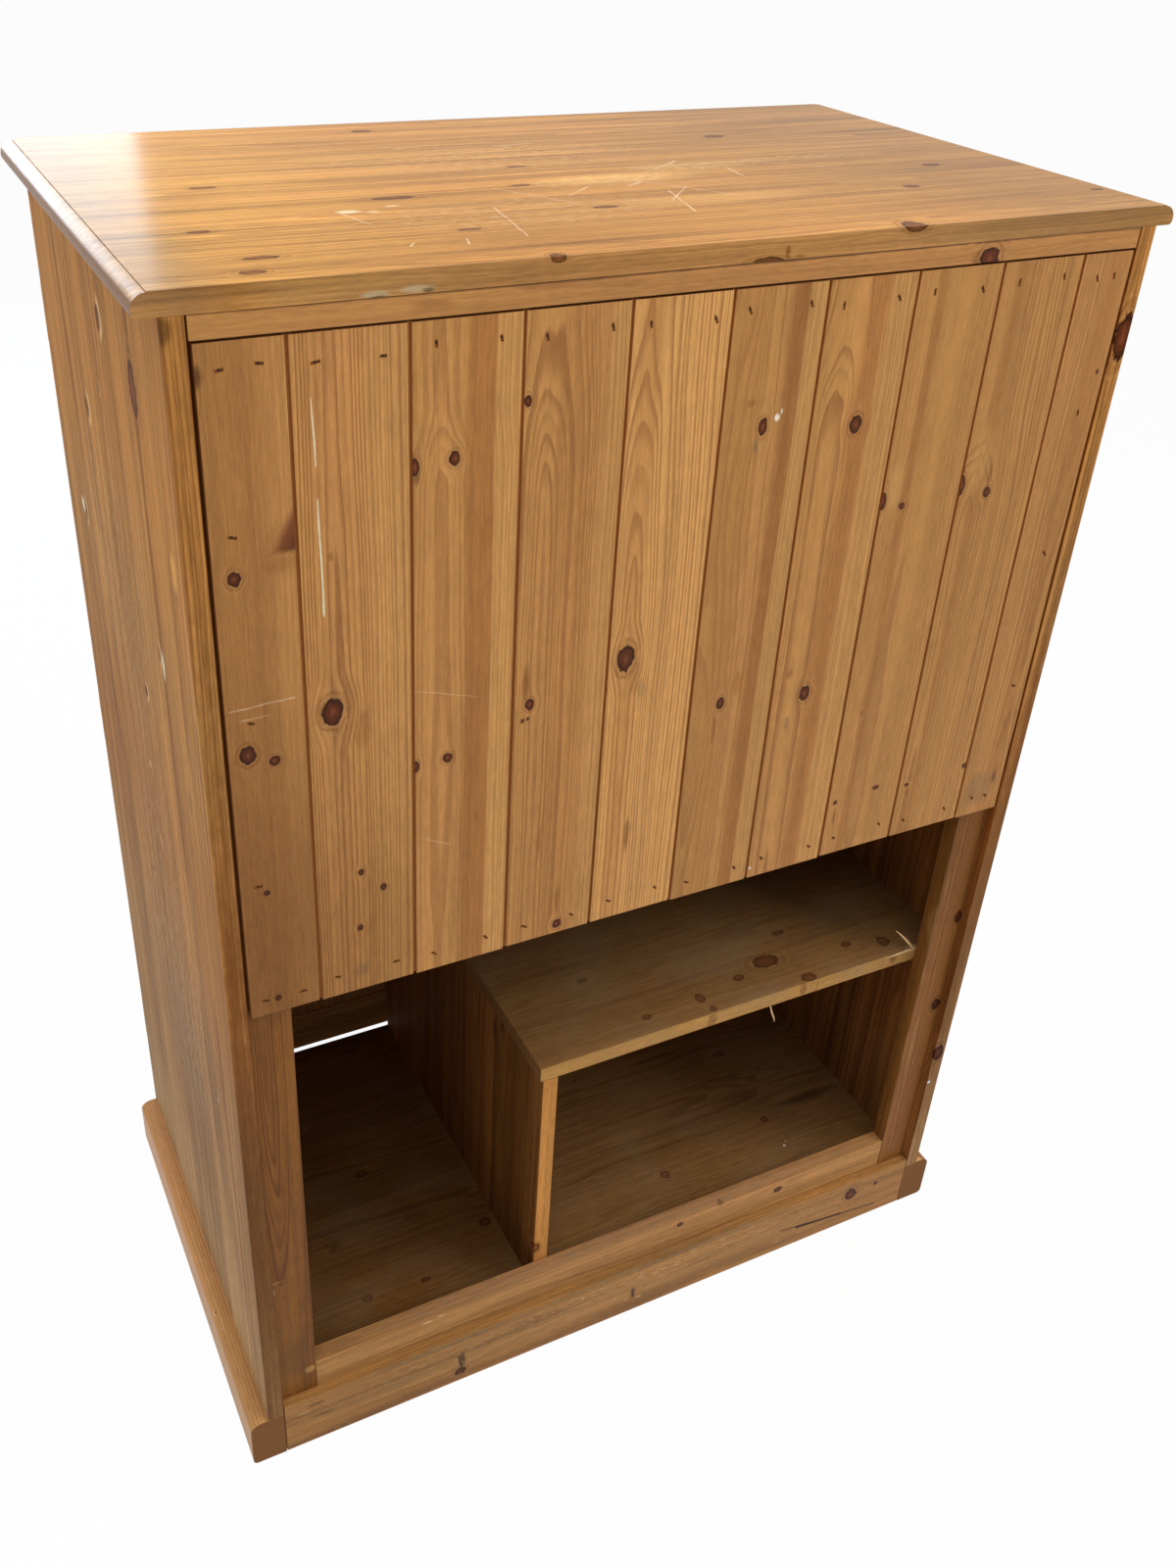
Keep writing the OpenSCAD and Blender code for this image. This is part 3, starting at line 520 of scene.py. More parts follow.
def worn(name, ease, cutters=()):
    source = nodes[name]
    shape = bmesh.new()
    shape.from_mesh(source.data)
    bmesh.ops.remove_doubles(shape, verts=shape.verts, dist=wearLook["merge"] * mm)
    bmesh.ops.dissolve_limit(shape, angle_limit=wearLook["flat"], verts=shape.verts, edges=shape.edges)
    sharp = [edge for edge in shape.edges
             if len(edge.link_faces) == 2 and edge.calc_face_angle(0) > wearLook["sharp"]
             and edge.calc_length() > wearLook["shortest"] * mm]
    bmesh.ops.bevel(shape, geom=sharp, affect="EDGES", offset=ease * mm, offset_type="OFFSET",
                    segments=wearLook["steps"], profile=0.5, material=-1, clamp_overlap=True)
    piece = pieceFrom(name + "_worn", shape)
    if cutters:
        carve(piece, cutters)
    smoothStrips(piece)
    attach(piece, source["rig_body"])
    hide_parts(name)
    return piece


def smoothStrips(piece):
    shape = bmesh.new()
    shape.from_mesh(piece.data)
    for face in shape.faces:
        face.smooth = 2 * face.calc_area() / face.calc_perimeter() < wearLook["strip"] * mm
    for edge in shape.edges:
        edge.smooth = edge.calc_face_angle(0) < wearLook["crease"]
    shape.to_mesh(piece.data)
    shape.free()


def carve(piece, cutters):  # each cutter is a block with its place, size and turn
    shape = bmesh.new()
    for place, size, turn in cutters:
        block = bmesh.ops.create_cube(shape, size=1)["verts"]
        bmesh.ops.scale(shape, verts=block, vec=size)
        bmesh.ops.rotate(shape, verts=block, cent=(0, 0, 0), matrix=Matrix.Rotation(turn, 3, "Y"))
        bmesh.ops.translate(shape, verts=block, vec=place)
    cutter = pieceFrom("cutter", shape)
    carving = piece.modifiers.new("carving", "BOOLEAN")
    carving.operation = "DIFFERENCE"
    carving.solver = "EXACT"
    carving.object = cutter
    cut = bpy.data.meshes.new_from_object(piece.evaluated_get(bpy.context.evaluated_depsgraph_get()))
    piece.modifiers.clear()
    old = piece.data
    piece.data = cut
    bpy.data.meshes.remove(old)
    bpy.data.objects.remove(cutter)


strandLook = {
    "sides": 8,
    "rings": 5,  # for each point of the route
    "pole": 1e-5,
    "dripFlat": 0.4,
    "dripSunk": 0.1,
    "splinterFlat": 0.5,
}


def strand(name, route, girth, flatness):  # a closed drip or splinter, drawn out from a ball along a route
    path = [Vector(point) * mm for point in route]
    shape = bmesh.new()
    bmesh.ops.create_uvsphere(shape, u_segments=strandLook["sides"],
                              v_segments=strandLook["rings"] * len(path), radius=1)
    outward = Vector((0, 1, 0))
    for vertex in shape.verts:
        share = math.acos(max(-1, min(1, vertex.co.z))) / math.pi * (len(path) - 1)
        step = min(int(share), len(path) - 2)
        rest = share - step
        aside = (path[step + 1] - path[step]).cross(outward).normalized()
        thick = (girth[step] * (1 - rest) + girth[step + 1] * rest) * mm
        around = Vector((vertex.co.x, vertex.co.y, 0))
        around = around.normalized() if around.length > strandLook["pole"] else around
        way = aside * around.x + outward * around.y * flatness
        vertex.co = path[step].lerp(path[step + 1], rest) + way * thick
    bmesh.ops.recalc_face_normals(shape, faces=shape.faces)
    for face in shape.faces:
        face.smooth = True
    piece = pieceFrom(name, shape)
    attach(piece, "carcass")
    return piece


def paint(piece, material):
    piece.data.materials.clear()
    piece.data.materials.append(material)


def extent(name):  # box of a part in millimetres
    low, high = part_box(name)
    return low / mm, high / mm


# Back boards: what each one shows, in millimetres from the middle and from the ground

boardEase = 0.6
boardLook = {"recess": 1.0, "tint": (1.04, 1.0, 0.93)}
boardLooks = {
    1: {"tone": 0.9, "pith": (452, 18), "pitch": 3.4, "contrast": 0.35, "spike": (368.5, 1176, 1128, 26),
        # darker towards the foot: a painted shadow
        "fades": [(1060, 740, (0.68, 0.62, 0.58))],
        "bands": [(390, 440, 12, 12, "heart", 0.4)],
        "knots": [(420, 1114, 4.6, 5.6), (420, 955, 6, 7.4), (398, 945, 4.2, 4.2), (413, 811, 2.4, 2.8),
                  (410, 689, 2.4, 3)],
        "patches": [(420, 955, 13, 15, "stain", 0.3), (385, 1120, 14, 8, "stain", 0.3),
                    (438, 1272, 8, 12, "barkAndShadow", 0.75), (370, 1250, 3, 60, "sap", 0.6)],
        "scratches": [(434, 999, 376, 1001, 0.9, 0.9), (425, 989, 398, 989, 0.7, 0.7)]},
    2: {"tone": 1.06, "pith": (339, 1), "pitch": 3.8, "contrast": 1.3, "rise": (1000, 1300, 1, 9), "sway": 8,
        # darker towards the foot: a painted shadow
        "fades": [(960, 720, (0.74, 0.71, 0.66))],
        "bands": [(275, 312, 3, 6, "sap", 0.45), (330, 352, 6, 8, "pink", 0.35)],
        "knots": [(347, 980, 8.2, 11.6), (327, 808, 2.6, 3), (306, 785, 2.4, 3), (329, 745, 2.2, 3)],
        "patches": [(322, 955, 9, 22, "stain", 0.35), (344, 1120, 3.5, 4.5, "stain", 0.5),
                    (329, 695, 10, 12, "smudge", 0.45)]},
    3: {"tone": 1.02, "pith": (251, 8), "pitch": 4.4, "contrast": 0.65, "rise": (1160, 1230, 0, 14),
        "bands": [(206, 230, 1.5, 5, "heart", 0.7), (180, 205, 2, 1.5, "sap", 0.6)],
        "knots": [(240, 1186, 4.4, 5.4), (273, 1183, 3.4, 6.4), (244, 909, 4, 4.4), (274, 907, 3, 5)],
        "patches": [(212, 1114, 8, 26, "heart", 0.6), (272, 1178, 4, 12, "barkAndShadow", 0.5)],
        "scratches": [(295, 990, 214, 963, 0.6, 0.6), (269, 830, 240, 812, 1.1, 0.35)]},
    4: {"tone": 0.99, "pith": (157, 2), "pitch": 4.6, "contrast": 0.85, "rise": (1120, 1310, 0, 22),
        "bands": [(82, 108, 2, 4, "sap", 0.5), (118, 150, 8, 8, "heart", 0.25)],
        "knots": [(178, 1225, 3, 4.4), (166, 946, 4, 5), (126, 683, 4.2, 4.8)],
        "patches": [(170, 966, 4, 24, "stain", 0.75), (172, 930, 2.4, 3, "barkAndShadow", 0.9),
                    (167, 931, 2, 2.6, "barkAndShadow", 0.9), (127, 712, 3, 24, "stain", 0.6),
                    (150, 790, 3, 26, "stain", 0.5)]},
    5: {"tone": 1.25, "tint": (1.05, 1.08, 1.03), "pith": (68, 3), "pitch": 4.0, "contrast": 1.2,
        "rise": (990, 1290, 0, 20),
        "bands": [(60, 78, 4, 4, "heart", 0.4)],
        "knots": [(71, 972, 7.6, 12)],
        "patches": [(60, 950, 7, 22, "stain", 0.3), (52, 936, 5, 14, "smudge", 0.35),
                    (54, 772, 4, 22, "stain", 0.75)]},
    6: {"tone": 0.93, "pith": (-10, 34), "pitch": 4.0, "contrast": 0.6,
        "bands": [(-79, -62, 1.2, 6, "heart", 0.75), (-100, -80, 2, 1.2, "sap", 0.6),
                  (-42, -12, 6, 6, "heart", 0.2)],
        "knots": [(-47, 1175, 4, 7), (-38, 900, 4.2, 6.2)],
        "patches": [(-42, 1160, 3, 9, "smudge", 0.55), (-34, 872, 2.5, 22, "stain", 0.5),
                    (-56, 919, 9, 14, "heart", 0.5), (-32, 1198, 5, 5, "stain", 0.5),
                    (-61, 1182, 3.2, 4, "white", 0.9), (-65, 1187, 1.4, 3, "white", 0.6)]},
    7: {"tone": 1.0, "pith": (-121, 4), "pitch": 4.8, "contrast": 0.95, "rise": (1130, 1300, 0, 18),
        "bands": [(-160, -140, 1.5, 5, "heart", 0.6), (-195, -163, 3, 1.5, "sap", 0.55)],
        "knots": [(-147, 1165, 5.6, 7.4), (-137, 889, 5.4, 7.4)],
        "patches": [(-121, 858, 3, 10, "smudge", 0.5), (-116, 916, 5, 6, "stain", 0.45),
                    (-102, 683, 2, 2, "white", 0.7)]},
    8: {"tone": 0.91, "pith": (-240, 60), "pitch": 3.2, "contrast": 0.5,
        "bands": [(-223, -213, 3, 3, "heart", 0.5)],
        "knots": [(-193, 1084, 4, 8), (-217, 1076, 3, 3), (-253, 746, 3.4, 2.4), (-201, 740, 2.4, 2.4)],
        "patches": [(-205, 1096, 9, 26, "sap", 0.5), (-203, 722, 2.4, 12, "stain", 0.6),
                    (-215, 848, 3, 3, "stain", 0.5)]},
    9: {"tone": 0.9, "pith": (-300, 8), "pitch": 4.4, "contrast": 0.8, "rise": (1040, 1160, 0, 20),
        "bands": [(-313, -302, 3, 3, "heart", 0.4)],
        "knots": [(-287, 1086, 3.4, 9), (-320, 1075, 3.6, 4.6), (-296, 738, 2.6, 2.2), (-376, 743, 4, 3)],
        "patches": [(-303, 1110, 12, 36, "sap", 0.45), (-320, 1094, 2.4, 14, "stain", 0.6),
                    (-299, 727, 3, 3, "stain", 0.6)]},
    10: {"tone": 0.94, "pith": (-424, 12), "pitch": 3.2, "contrast": 0.9,
         "bands": [(-430, -411, 5, 5, "heart", 0.45)],
         "knots": [(-428, 1182, 1.6, 2.2)],
         "patches": [(-405, 706, 22, 26, "smudge", 0.45), (-424, 716, 3, 10, "barkAndShadow", 0.5)]},
}

nailMark = {
    "seed": 11,
    "width": 2.6,
    "length": 7,
    "lengths": (0.8, 1.1),
    "depth": 1.7,
    "slantHigh": 0.22,  # turns in radians: in the upper row, in the lower one, and at the photograph's left
    "slantLow": 0.85,
    "slantRight": 1.5,
    "slantVaries": 0.25,
    "highFrom": 1000,
    "rightFrom": 290,
    "headDeep": 0.1,
    "headWide": 4,
}


def nailPlaces():
    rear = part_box("back_nails")[1].y
    corners = nodes["back_nails"].data.vertices
    heads = [corner.co for corner in corners if corner.co.y > rear - nailMark["headDeep"] * mm]
    groups = []
    for head in heads:
        for group in groups:
            if (group[0] - head).length < nailMark["headWide"] * mm:
                group.append(head)
                break
        else:
            groups.append([head])
    return [sum(group, Vector()) / len(group) for group in groups]


def nailSlots(places, low, high, faceY):
    chance = random.Random(nailMark["seed"])
    slots = []
    for place in places:
        slant = nailMark["slantHigh" if place.z > nailMark["highFrom"] * mm else "slantLow"]
        if place.x > nailMark["rightFrom"] * mm:
            slant = nailMark["slantRight"]
        turn = slant + chance.uniform(-nailMark["slantVaries"], nailMark["slantVaries"])
        length = nailMark["length"] * chance.uniform(*nailMark["lengths"])
        size = Vector((nailMark["width"], 2 * nailMark["depth"], length)) * mm
        if low.x < place.x / mm < high.x:
            slots.append((Vector((place.x, faceY * mm, place.z)), size, turn))
    return slots


nails = nailPlaces()
for number, marks in boardLooks.items():
    name = f"back_board_{number}"
    low, high = extent(name)
    board = worn(name, boardEase, nailSlots(nails, low, high, high.y))
    paint(board, pine(f"board_{number}_pine", "z", "y", high.y, **{**boardLook, **marks}))
print("back boards ready")


# Carcass boards

rear = extent("top_slab")[1].y
innerFace = extent("side_panel_right")[0].x  # the finish on the side panels ends within 1 mm of it
strayLook = {  # ranges for the pith and the stray knots of a piece, spans being shares of its width
    "pithSpan": (-0.7, 0.7), "pithDeep": (6, 40), "span": (-0.4, 0.4), "fromEnds": 30,
    "across": (3, 8), "along": (5, 12),
}


# A worn part with a pine of its own. Its face is at the high or the low end of the axis into the wood
def grown(name, along, deep, high=True, ease=0.8, slot="side_pine", knotCount=0, **look):
    low, top = extent(name)
    alongAxis, deepAxis = "xyz".index(along), "xyz".index(deep)
    acrossAxis = 3 - alongAxis - deepAxis
    face = top[deepAxis] if high else low[deepAxis]
    chance = random.Random(name + "grain")
    width = top[acrossAxis] - low[acrossAxis]
    middle = (top[acrossAxis] + low[acrossAxis]) / 2
    ends = (low[alongAxis] + strayLook["fromEnds"], top[alongAxis] - strayLook["fromEnds"])
    pith = (middle + chance.uniform(*strayLook["pithSpan"]) * width, chance.uniform(*strayLook["pithDeep"]))
    strays = [(middle + chance.uniform(*strayLook["span"]) * width, chance.uniform(*ends),
               chance.uniform(*strayLook["across"]), chance.uniform(*strayLook["along"]))
              for _ in range(knotCount)]
    look = {"pith": pith, **look, "knots": look.get("knots", []) + strays}
    paint(worn(name, ease), pine(name + "_wood", along, deep, face, 1 if high else -1, **look))


slabLook = {
    "strips": (-300, 62), "contrast": 0.75, "tone": 1.0, "rough": 0.15, "specular": 0.008, "pitch": 3.6,
    "relief": 0.04, "streaky": 0.72, "knotty": 0.75, "tint": (1.0, 0.95, 0.72), "sway": 22, "fine": 1.35,
    # Painted shade towards the low end of x, and painted light then a painted bluish glare towards the high
    # end
    "fades": [(0, -430, (0.8, 0.84, 0.97)), (120, 380, (1.22, 1.3, 1.3)), (390, 450, (0.78, 0.87, 1.22))],
    "glossFrom": (462, 470, 0.3),
    "knots": [(-3, 349, 3.5, 10), (144, 390, 3.5, 8), (75, 206, 4.5, 17), (194, 188, 3, 9),
              (229, 367, 4, 13), (265, 384, 4.5, 9), (-17, 48, 3, 9), (58, 79, 3, 8), (-216, 129, 5, 9),
              (154, 45, 3.5, 11), (-106, -224, 6, 10), (79, -362, 5, 9), (157, -276, 4.5, 8),
              (217, -448, 3, 7), ((157, rear, 1333), (6, 7, 3.2)), ((-32, rear, 1315), (14, 9, 4)),
              ((-178, rear, 1334), (10, 14, 4))],
    "patches": [((0, rear, 1325), (600, 3, 60), "bare", 0.42),
                ((452, rear, 1325), (76, 3, 60), "heart", 0.6),
                ((302, rear, 1318), (12, 3, 3.2), "filler", 1.0),
                ((271, rear, 1319.5), (15, 3, 3.2), "filler", 1.0),
                ((300, rear, 1315.5), (9, 3, 2), "barkAndShadow", 0.7), ((262, rear, 1318), (5, 3, 2), "barkAndShadow", 0.6),
                ((430, rear, 1336), (30, 8, 6), "stain", 0.2),
                ((-340, rear, 1325), (190, 3, 60), "smudge", 0.3),
                ((-50, rear, 1322), (3, 3, 7), "stain", 0.8), ((-62, rear, 1318), (6, 3, 2), "stain", 0.6),
                (112, 259, 6, 13, "white", 0.5), (117, 240, 3, 7, "white", 0.35),
                (102, 218, 3, 7, "white", 0.35), (56, -20, 24, 90, "fresh", 0.3),
                (20, -120, 18, 80, "fresh", 0.25), (150, -60, 22, 110, "fresh", 0.16)],
    "scratches": [(116, 268, 157, 256, 1.2, 1.1), (218, 202, 239, 208, 1.1, 1.1),
                  (232, 252, 219, 244, 1.3, 1.0), (128, 137, 227, 153, 0.9, 1.0),
                  (29, -74, -3, -116, 1.6, 0.9), (107, -42, 191, -21, 1.2, 1.0),
                  (150, -22, 101, -66, 1.2, 1.0), (72, -36, 87, -13, 2, 0.8),
                  (78, -143, 34, -149, 1.5, 0.9), (108, 57, 77, 22, 1.5, 0.8),
                  (45, -15, 150, -97, 1.0, 0.7), (-109, 34, -118, -14, 1.5, 0.7),
                  (-123, 131, -125, 100, 1.5, 0.7), (60, 110, 140, 60, 0.9, 0.7),
                  (10, -180, 60, -250, 1.2, 0.6)],
    "scuffs": [(56, -9, 24, 90, "fresh", 0.6), (24, -111, 20, 90, "fresh", 0.55),
               (15, -240, 22, 110, "fresh", 0.4), (94, -290, 16, 70, "dust", 0.4),
               (-60, 60, 80, 200, "scratchAndHighlight", 0.3), (150, 120, 60, 160, "scratchAndHighlight", 0.3)],
}
grown("top_slab", "x", "z", ease=0.5, slot="top_lacquer", **slabLook)

sideLook = {
    "strips": (-242, 44), "contrast": 1.2, "tone": 0.9, "sway": 10, "specular": 0.04, "rough": 0.6,
    "pitch": 4.4, "streaky": 0.75, "fine": 1.8, "tint": (1.0, 0.98, 0.88),
    # Painted light near the top, painted shade below it, and a painted bluish reflection over the lower half
    "fades": [(950, 1150, (1.15, 1.08, 0.93)), (950, 750, (0.88, 0.83, 0.83)), (750, 400, (0.94, 1.12, 1.54)),
              (330, 120, (1.15, 1.28, 1.45))],
}
rightSideMarks = {  # at the photograph's left, and in full view
    "knots": [(173, 1229, 11, 20), (-230, 1300, 12, 9)], "knotty": 0.8,
    # On the rear edge: darker over its lower part, and at its top a painted shadow under the top's moulding
    "patches": [((450, rear, 400), (16, 3, 680), "stain", 0.95), ((456, rear, 1306), (8, 4, 12), "barkAndShadow", 0.6),
                (254, 1111, 10, 22, "sap", 0.8), (257, 1090, 8, 8, "smudge", 0.5),
                (223, 875, 6, 18, "smudge", 0.55), (92, 843, 6, 14, "smudge", 0.4),
                (60, 722, 4, 10, "scratchAndHighlight", 0.45), (-25, 552, 4, 14, "scratchAndHighlight", 0.35),
                (-156, 1002, 8, 9, "white", 0.9), (172, 985, 5, 15, "white", 0.85),
                (49, 810, 4, 6, "scratchAndHighlight", 0.8)],
    "scuffs": [(60, 600, 150, 300, "scratchAndHighlight", 0.3), (0, 1000, 160, 160, "scratchAndHighlight", 0.2)],
    "dents": [(56, 1251, 10, 13, 0.8), (-53, 1139, 9, 11, 0.7), (-143, 1000, 5, 12, 0.8),
              (160, 990, 4, 9, 0.7), (76, 908, 6, 7, 0.85), (-10, 641, 5, 6, 0.6), (200, 500, 5, 6, 0.5),
              (20, 1180, 4, 5, 0.5)],
    "scratches": [(268, 945, 276, 920, 0.9, 0.7), (-10, 700, -2, 600, 0.7, 0.5),
                  (130, 1120, 120, 1010, 0.7, 0.5), (100, 1150, 104, 1085, 0.9, 0.7),
                  (30, 1160, 34, 1080, 0.8, 0.6), (-60, 920, -57, 850, 0.9, 0.7),
                  (120, 870, 125, 790, 0.9, 0.7), (180, 760, 184, 690, 0.9, 0.7),
                  (60, 590, 64, 470, 0.9, 0.6), (-120, 720, -116, 640, 0.9, 0.6),
                  (210, 640, 214, 560, 0.9, 0.6), (0, 480, 5, 380, 0.9, 0.6)],
}
leftSideMarks = {
    "knots": [((-450, rear, 1214), (9, 6, 20)), ((-446, rear, 280), (7, 5, 12))],
    "patches": [((-450, rear, 420), (16, 3, 600), "stain", 0.7),
                ((-443, rear, 228), (3, 2, 3), "white", 0.9)],
}
grown("side_panel_left", "z", "x", False, inside=("x", -innerFace - 1, -innerFace), **sideLook,
      **leftSideMarks)
grown("side_panel_right", "z", "x", inside=("x", innerFace + 1, innerFace), **sideLook, **rightSideMarks)

plinthLook = {"ease": 0.5, "specular": 0.1, "rough": 0.4, "tone": 0.98, "fine": 1.6}
grown("plinth_side_left", "y", "z", tint=(0.94, 0.82, 0.76), **plinthLook,
      patches=[((-461, rear, 71), (12, 8, 3), "fresh", 1.0), ((-444, rear, 71), (7, 5, 2), "white", 0.9)])
grown("plinth_side_right", "y", "z", tint=(1.05, 1.08, 1.2), **plinthLook,
      dents=[(474, 126, 1.6, 2.5, 0.9), (470, 152, 1, 1.4, 0.8)])
grown("plinth_rear_rail", "x", "y", slot="back_pine", pith=(20, 40), contrast=0.6, tone=0.86,
      streaky=0.7, fine=1.9, tint=(0.9, 0.87, 0.76),
      knots=[(57, -349, 9, 8), (59, -390, 2.6, 2.6), (18, 222, 5, 7)],
      patches=[(38, 220, 17, 5, "barkAndShadow", 0.85), (34, -15, 13, 4.5, "barkAndShadow", 0.75),
               (22, -24, 3, 5, "fresh", 0.6), (26, -6, 2, 4, "fresh", 0.5), (60, 120, 8, 40, "stain", 0.4),
               (48, -120, 10, 60, "stain", 0.35), (76, 240, 4, 90, "smudge", 0.3),
               (66, 402, 3, 14, "barkAndShadow", 0.5), (44, 394, 2, 16, "barkAndShadow", 0.45),
               (58, 416, 2, 10, "fresh", 0.4)],
      scuffs=[(80, -40, 7, 260, "dust", 1.0), (78, 250, 6, 120, "dust", 0.8),
              (50, 0, 30, 420, "scratchAndHighlight", 0.35), (30, 0, 30, 430, "smudge", 0.5),
              (63, 58, 2, 3, "white", 0.9), (17, -237, 2, 3, "white", 0.9)],
      cracks=[(38, -236, 14, -398, 1.6, 1.0), (31, -262, 23, -340, 3.2, 1.0), (12, 219, 50, 224, 1.6, 0.85),
              (24, -16, 44, -14, 1.5, 0.8), (91, 419, 40, 382, 0.5, 0.4)])
grown("plinth_front", "x", "y", False, knotCount=2, tone=0.95, contrast=0.9, streaky=0.5)
grown("front_top_rail", "x", "y", False)
# The long dark line along its top is a painted shadow under the top
grown("back_top_rail", "x", "y", slot="back_pine", tone=0.92, contrast=0.45, tint=(1.08, 1.01, 0.98),
      knots=[((-264, rear, 1302), (9, 25, 8))],
      patches=[(1306, 256, 5, 22, "stain", 0.35), (1302, -250, 8, 8, "stain", 0.5),
               ((0, rear, 1316.5), (900, 4, 2.4), "barkAndShadow", 0.8)])
grown("floor_rear_rail", "x", "y", slot="back_pine", tone=0.9, streaky=0.6, fine=1.7,
      knots=[((-82, 279, 118), (4, 6, 3)), ((-230, 279, 112), (5, 6, 4))],
      patches=[((0, 268, 127), (420, 12, 2), "bare", 0.3), (127, -142, 2, 5, "barkAndShadow", 0.6),
               ((260, 279, 119), (8, 3, 2), "fresh", 0.8), ((243, 279, 122), (6, 3, 1.6), "fresh", 0.7)],
      scuffs=[((0, 272, 127), (420, 8, 3), "dust", 0.6)])

cleatLook = {"slot": "batten_pine", "streaky": 0.6, "fine": 1.8}
grown("back_cleat_left", "z", "y", **cleatLook,
      tone=0.86, contrast=0.9, pith=(-470, 10), tint=(0.54, 0.43, 0.27),
      knots=[(-434, 501, 5, 8), (-432, 360, 6, 8)],
      dents=[(-415, 523, 1.4, 1.8, 0.9), (-419, 265, 1.4, 1.8, 0.9)],
      patches=[(-396, 500, 1.2, 30, "fresh", 0.45), (-399, 420, 1.2, 22, "fresh", 0.4),
               (-397, 300, 1.2, 34, "scratchAndHighlight", 0.35), (-403, 560, 1.2, 26, "scratchAndHighlight", 0.35),
               (-408, 300, 3, 60, "scratchAndHighlight", 0.25)])
grown("back_cleat_right", "z", "y", **cleatLook,
      tone=0.8, contrast=1.1, pith=(424, 3), rise=(180, 600, 18, 0), tint=(0.56, 0.44, 0.26),
      knots=[(442, 243, 4, 7)],
      patches=[(402, 118, 7, 7, "fresh", 1.0), (436, 284, 12, 2, "scratchAndHighlight", 0.5),
               (443, 322, 4, 2, "scratchAndHighlight", 0.5), (436, 270, 1, 6, "white", 0.6),
               (422, 150, 18, 40, "smudge", 0.35)])

# The inside pieces are toned dark, partly as their own colour and partly as painted shade
insideLook = {"slot": "inside_pine", "specular": 0.06, "rough": 0.62, "knotty": 0.72, "fine": 2.0}
# Its fade darkens the bay beyond the divider: painted shade of the divider
grown("floor_board", "x", "z", strips=(-250, 130), dusty=0.2, tone=0.5, contrast=0.9, sway=30,
      fades=[(60, 140, (0.7, 0.62, 0.5))],
      knots=[(176, -123, 6, 6), (148, -300, 5, 5), (14, -308, 5, 8), (148, 128, 6, 7), (193, 304, 4, 6),
             (197, 229, 3, 6), (11, 245, 5, 8)],
      patches=[(136, -385, 9, 60, "barkAndShadow", 0.75), (199, -299, 2, 2.4, "white", 1.0),
               (258, -88, 4, 14, "barkAndShadow", 0.7)],
      **insideLook)
grown("shelf", "x", "z", strips=(-250, 120), dusty=0.3, tone=0.56, contrast=0.5, ends=0.3,
      knots=[(206, -210, 9, 16), (218, -164, 5, 6), (251, -242, 6, 9), (230, -103, 7, 5), (251, -108, 4, 4),
             (232, -30, 4, 5), (148, 10, 3, 7), (167, -254, 4, 7), (219, -320, 4, 6), (233, -366, 8, 7)],
      patches=[((-60, 259, 440), (560, 2.4, 30), "gold", 0.85), ((-103, 259, 440), (7, 3, 14), "stain", 0.7),
               ((-230, 259, 444), (6, 3, 16), "stain", 0.7), ((-363, 259, 446), (8, 3, 14), "barkAndShadow", 0.6),
               ((-392, 259, 449), (16, 8, 4), "fresh", 0.8)],
      **insideLook)
grown("divider", "z", "x", strips=(-242, 62), tone=0.46, contrast=0.9, stripTone=0.9, streaky=0.7,
      tint=(1.15, 0.95, 0.74), knots=[((113, 259, 151), (6, 9, 7))],
      patches=[((104, 259, 240), (30, 2.4, 400), "sap", 0.7), (129, 394, 4, 22, "barkAndShadow", 0.7),
               (148, 417, 3, 12, "barkAndShadow", 0.7), (19, 180, 4, 30, "barkAndShadow", 0.6)],
      **insideLook)
grown("shelf_cleat", "y", "z", False, tone=0.62, **insideLook)
grown("floor_bearers", "y", "z", False, tone=0.62, **insideLook)
grown("back_batten_top", "x", "y", False, tone=0.62, **insideLook)
grown("back_batten_bottom", "x", "y", False, tone=0.62, **insideLook)


# Paint, splinters and a crumb

flatLook = {
    "speck": ((1.5, 1.5, 5), 4, 3),  # size, seed and detail
    "specks": (0.3, 0.75), "dark": 0.8, "roughVaries": 0.3, "relief": 0.3, "reliefDeep": 0.2,
}


def flatPaint(name, tone, rough):
    graph = Graph(bpy.data.materials.new(name))
    speck = graph.noise(graph.place(), *flatLook["speck"])
    dark = tuple(flatLook["dark"] * part for part in tone[:3]) + (1,)
    return graph.surface(colour=graph.mix(graph.ramp(speck, *flatLook["specks"]), tone, dark),
                         roughness=speck * flatLook["roughVaries"] + rough,
                         normal=graph.bump(speck, flatLook["relief"], flatLook["reliefDeep"] * mm))


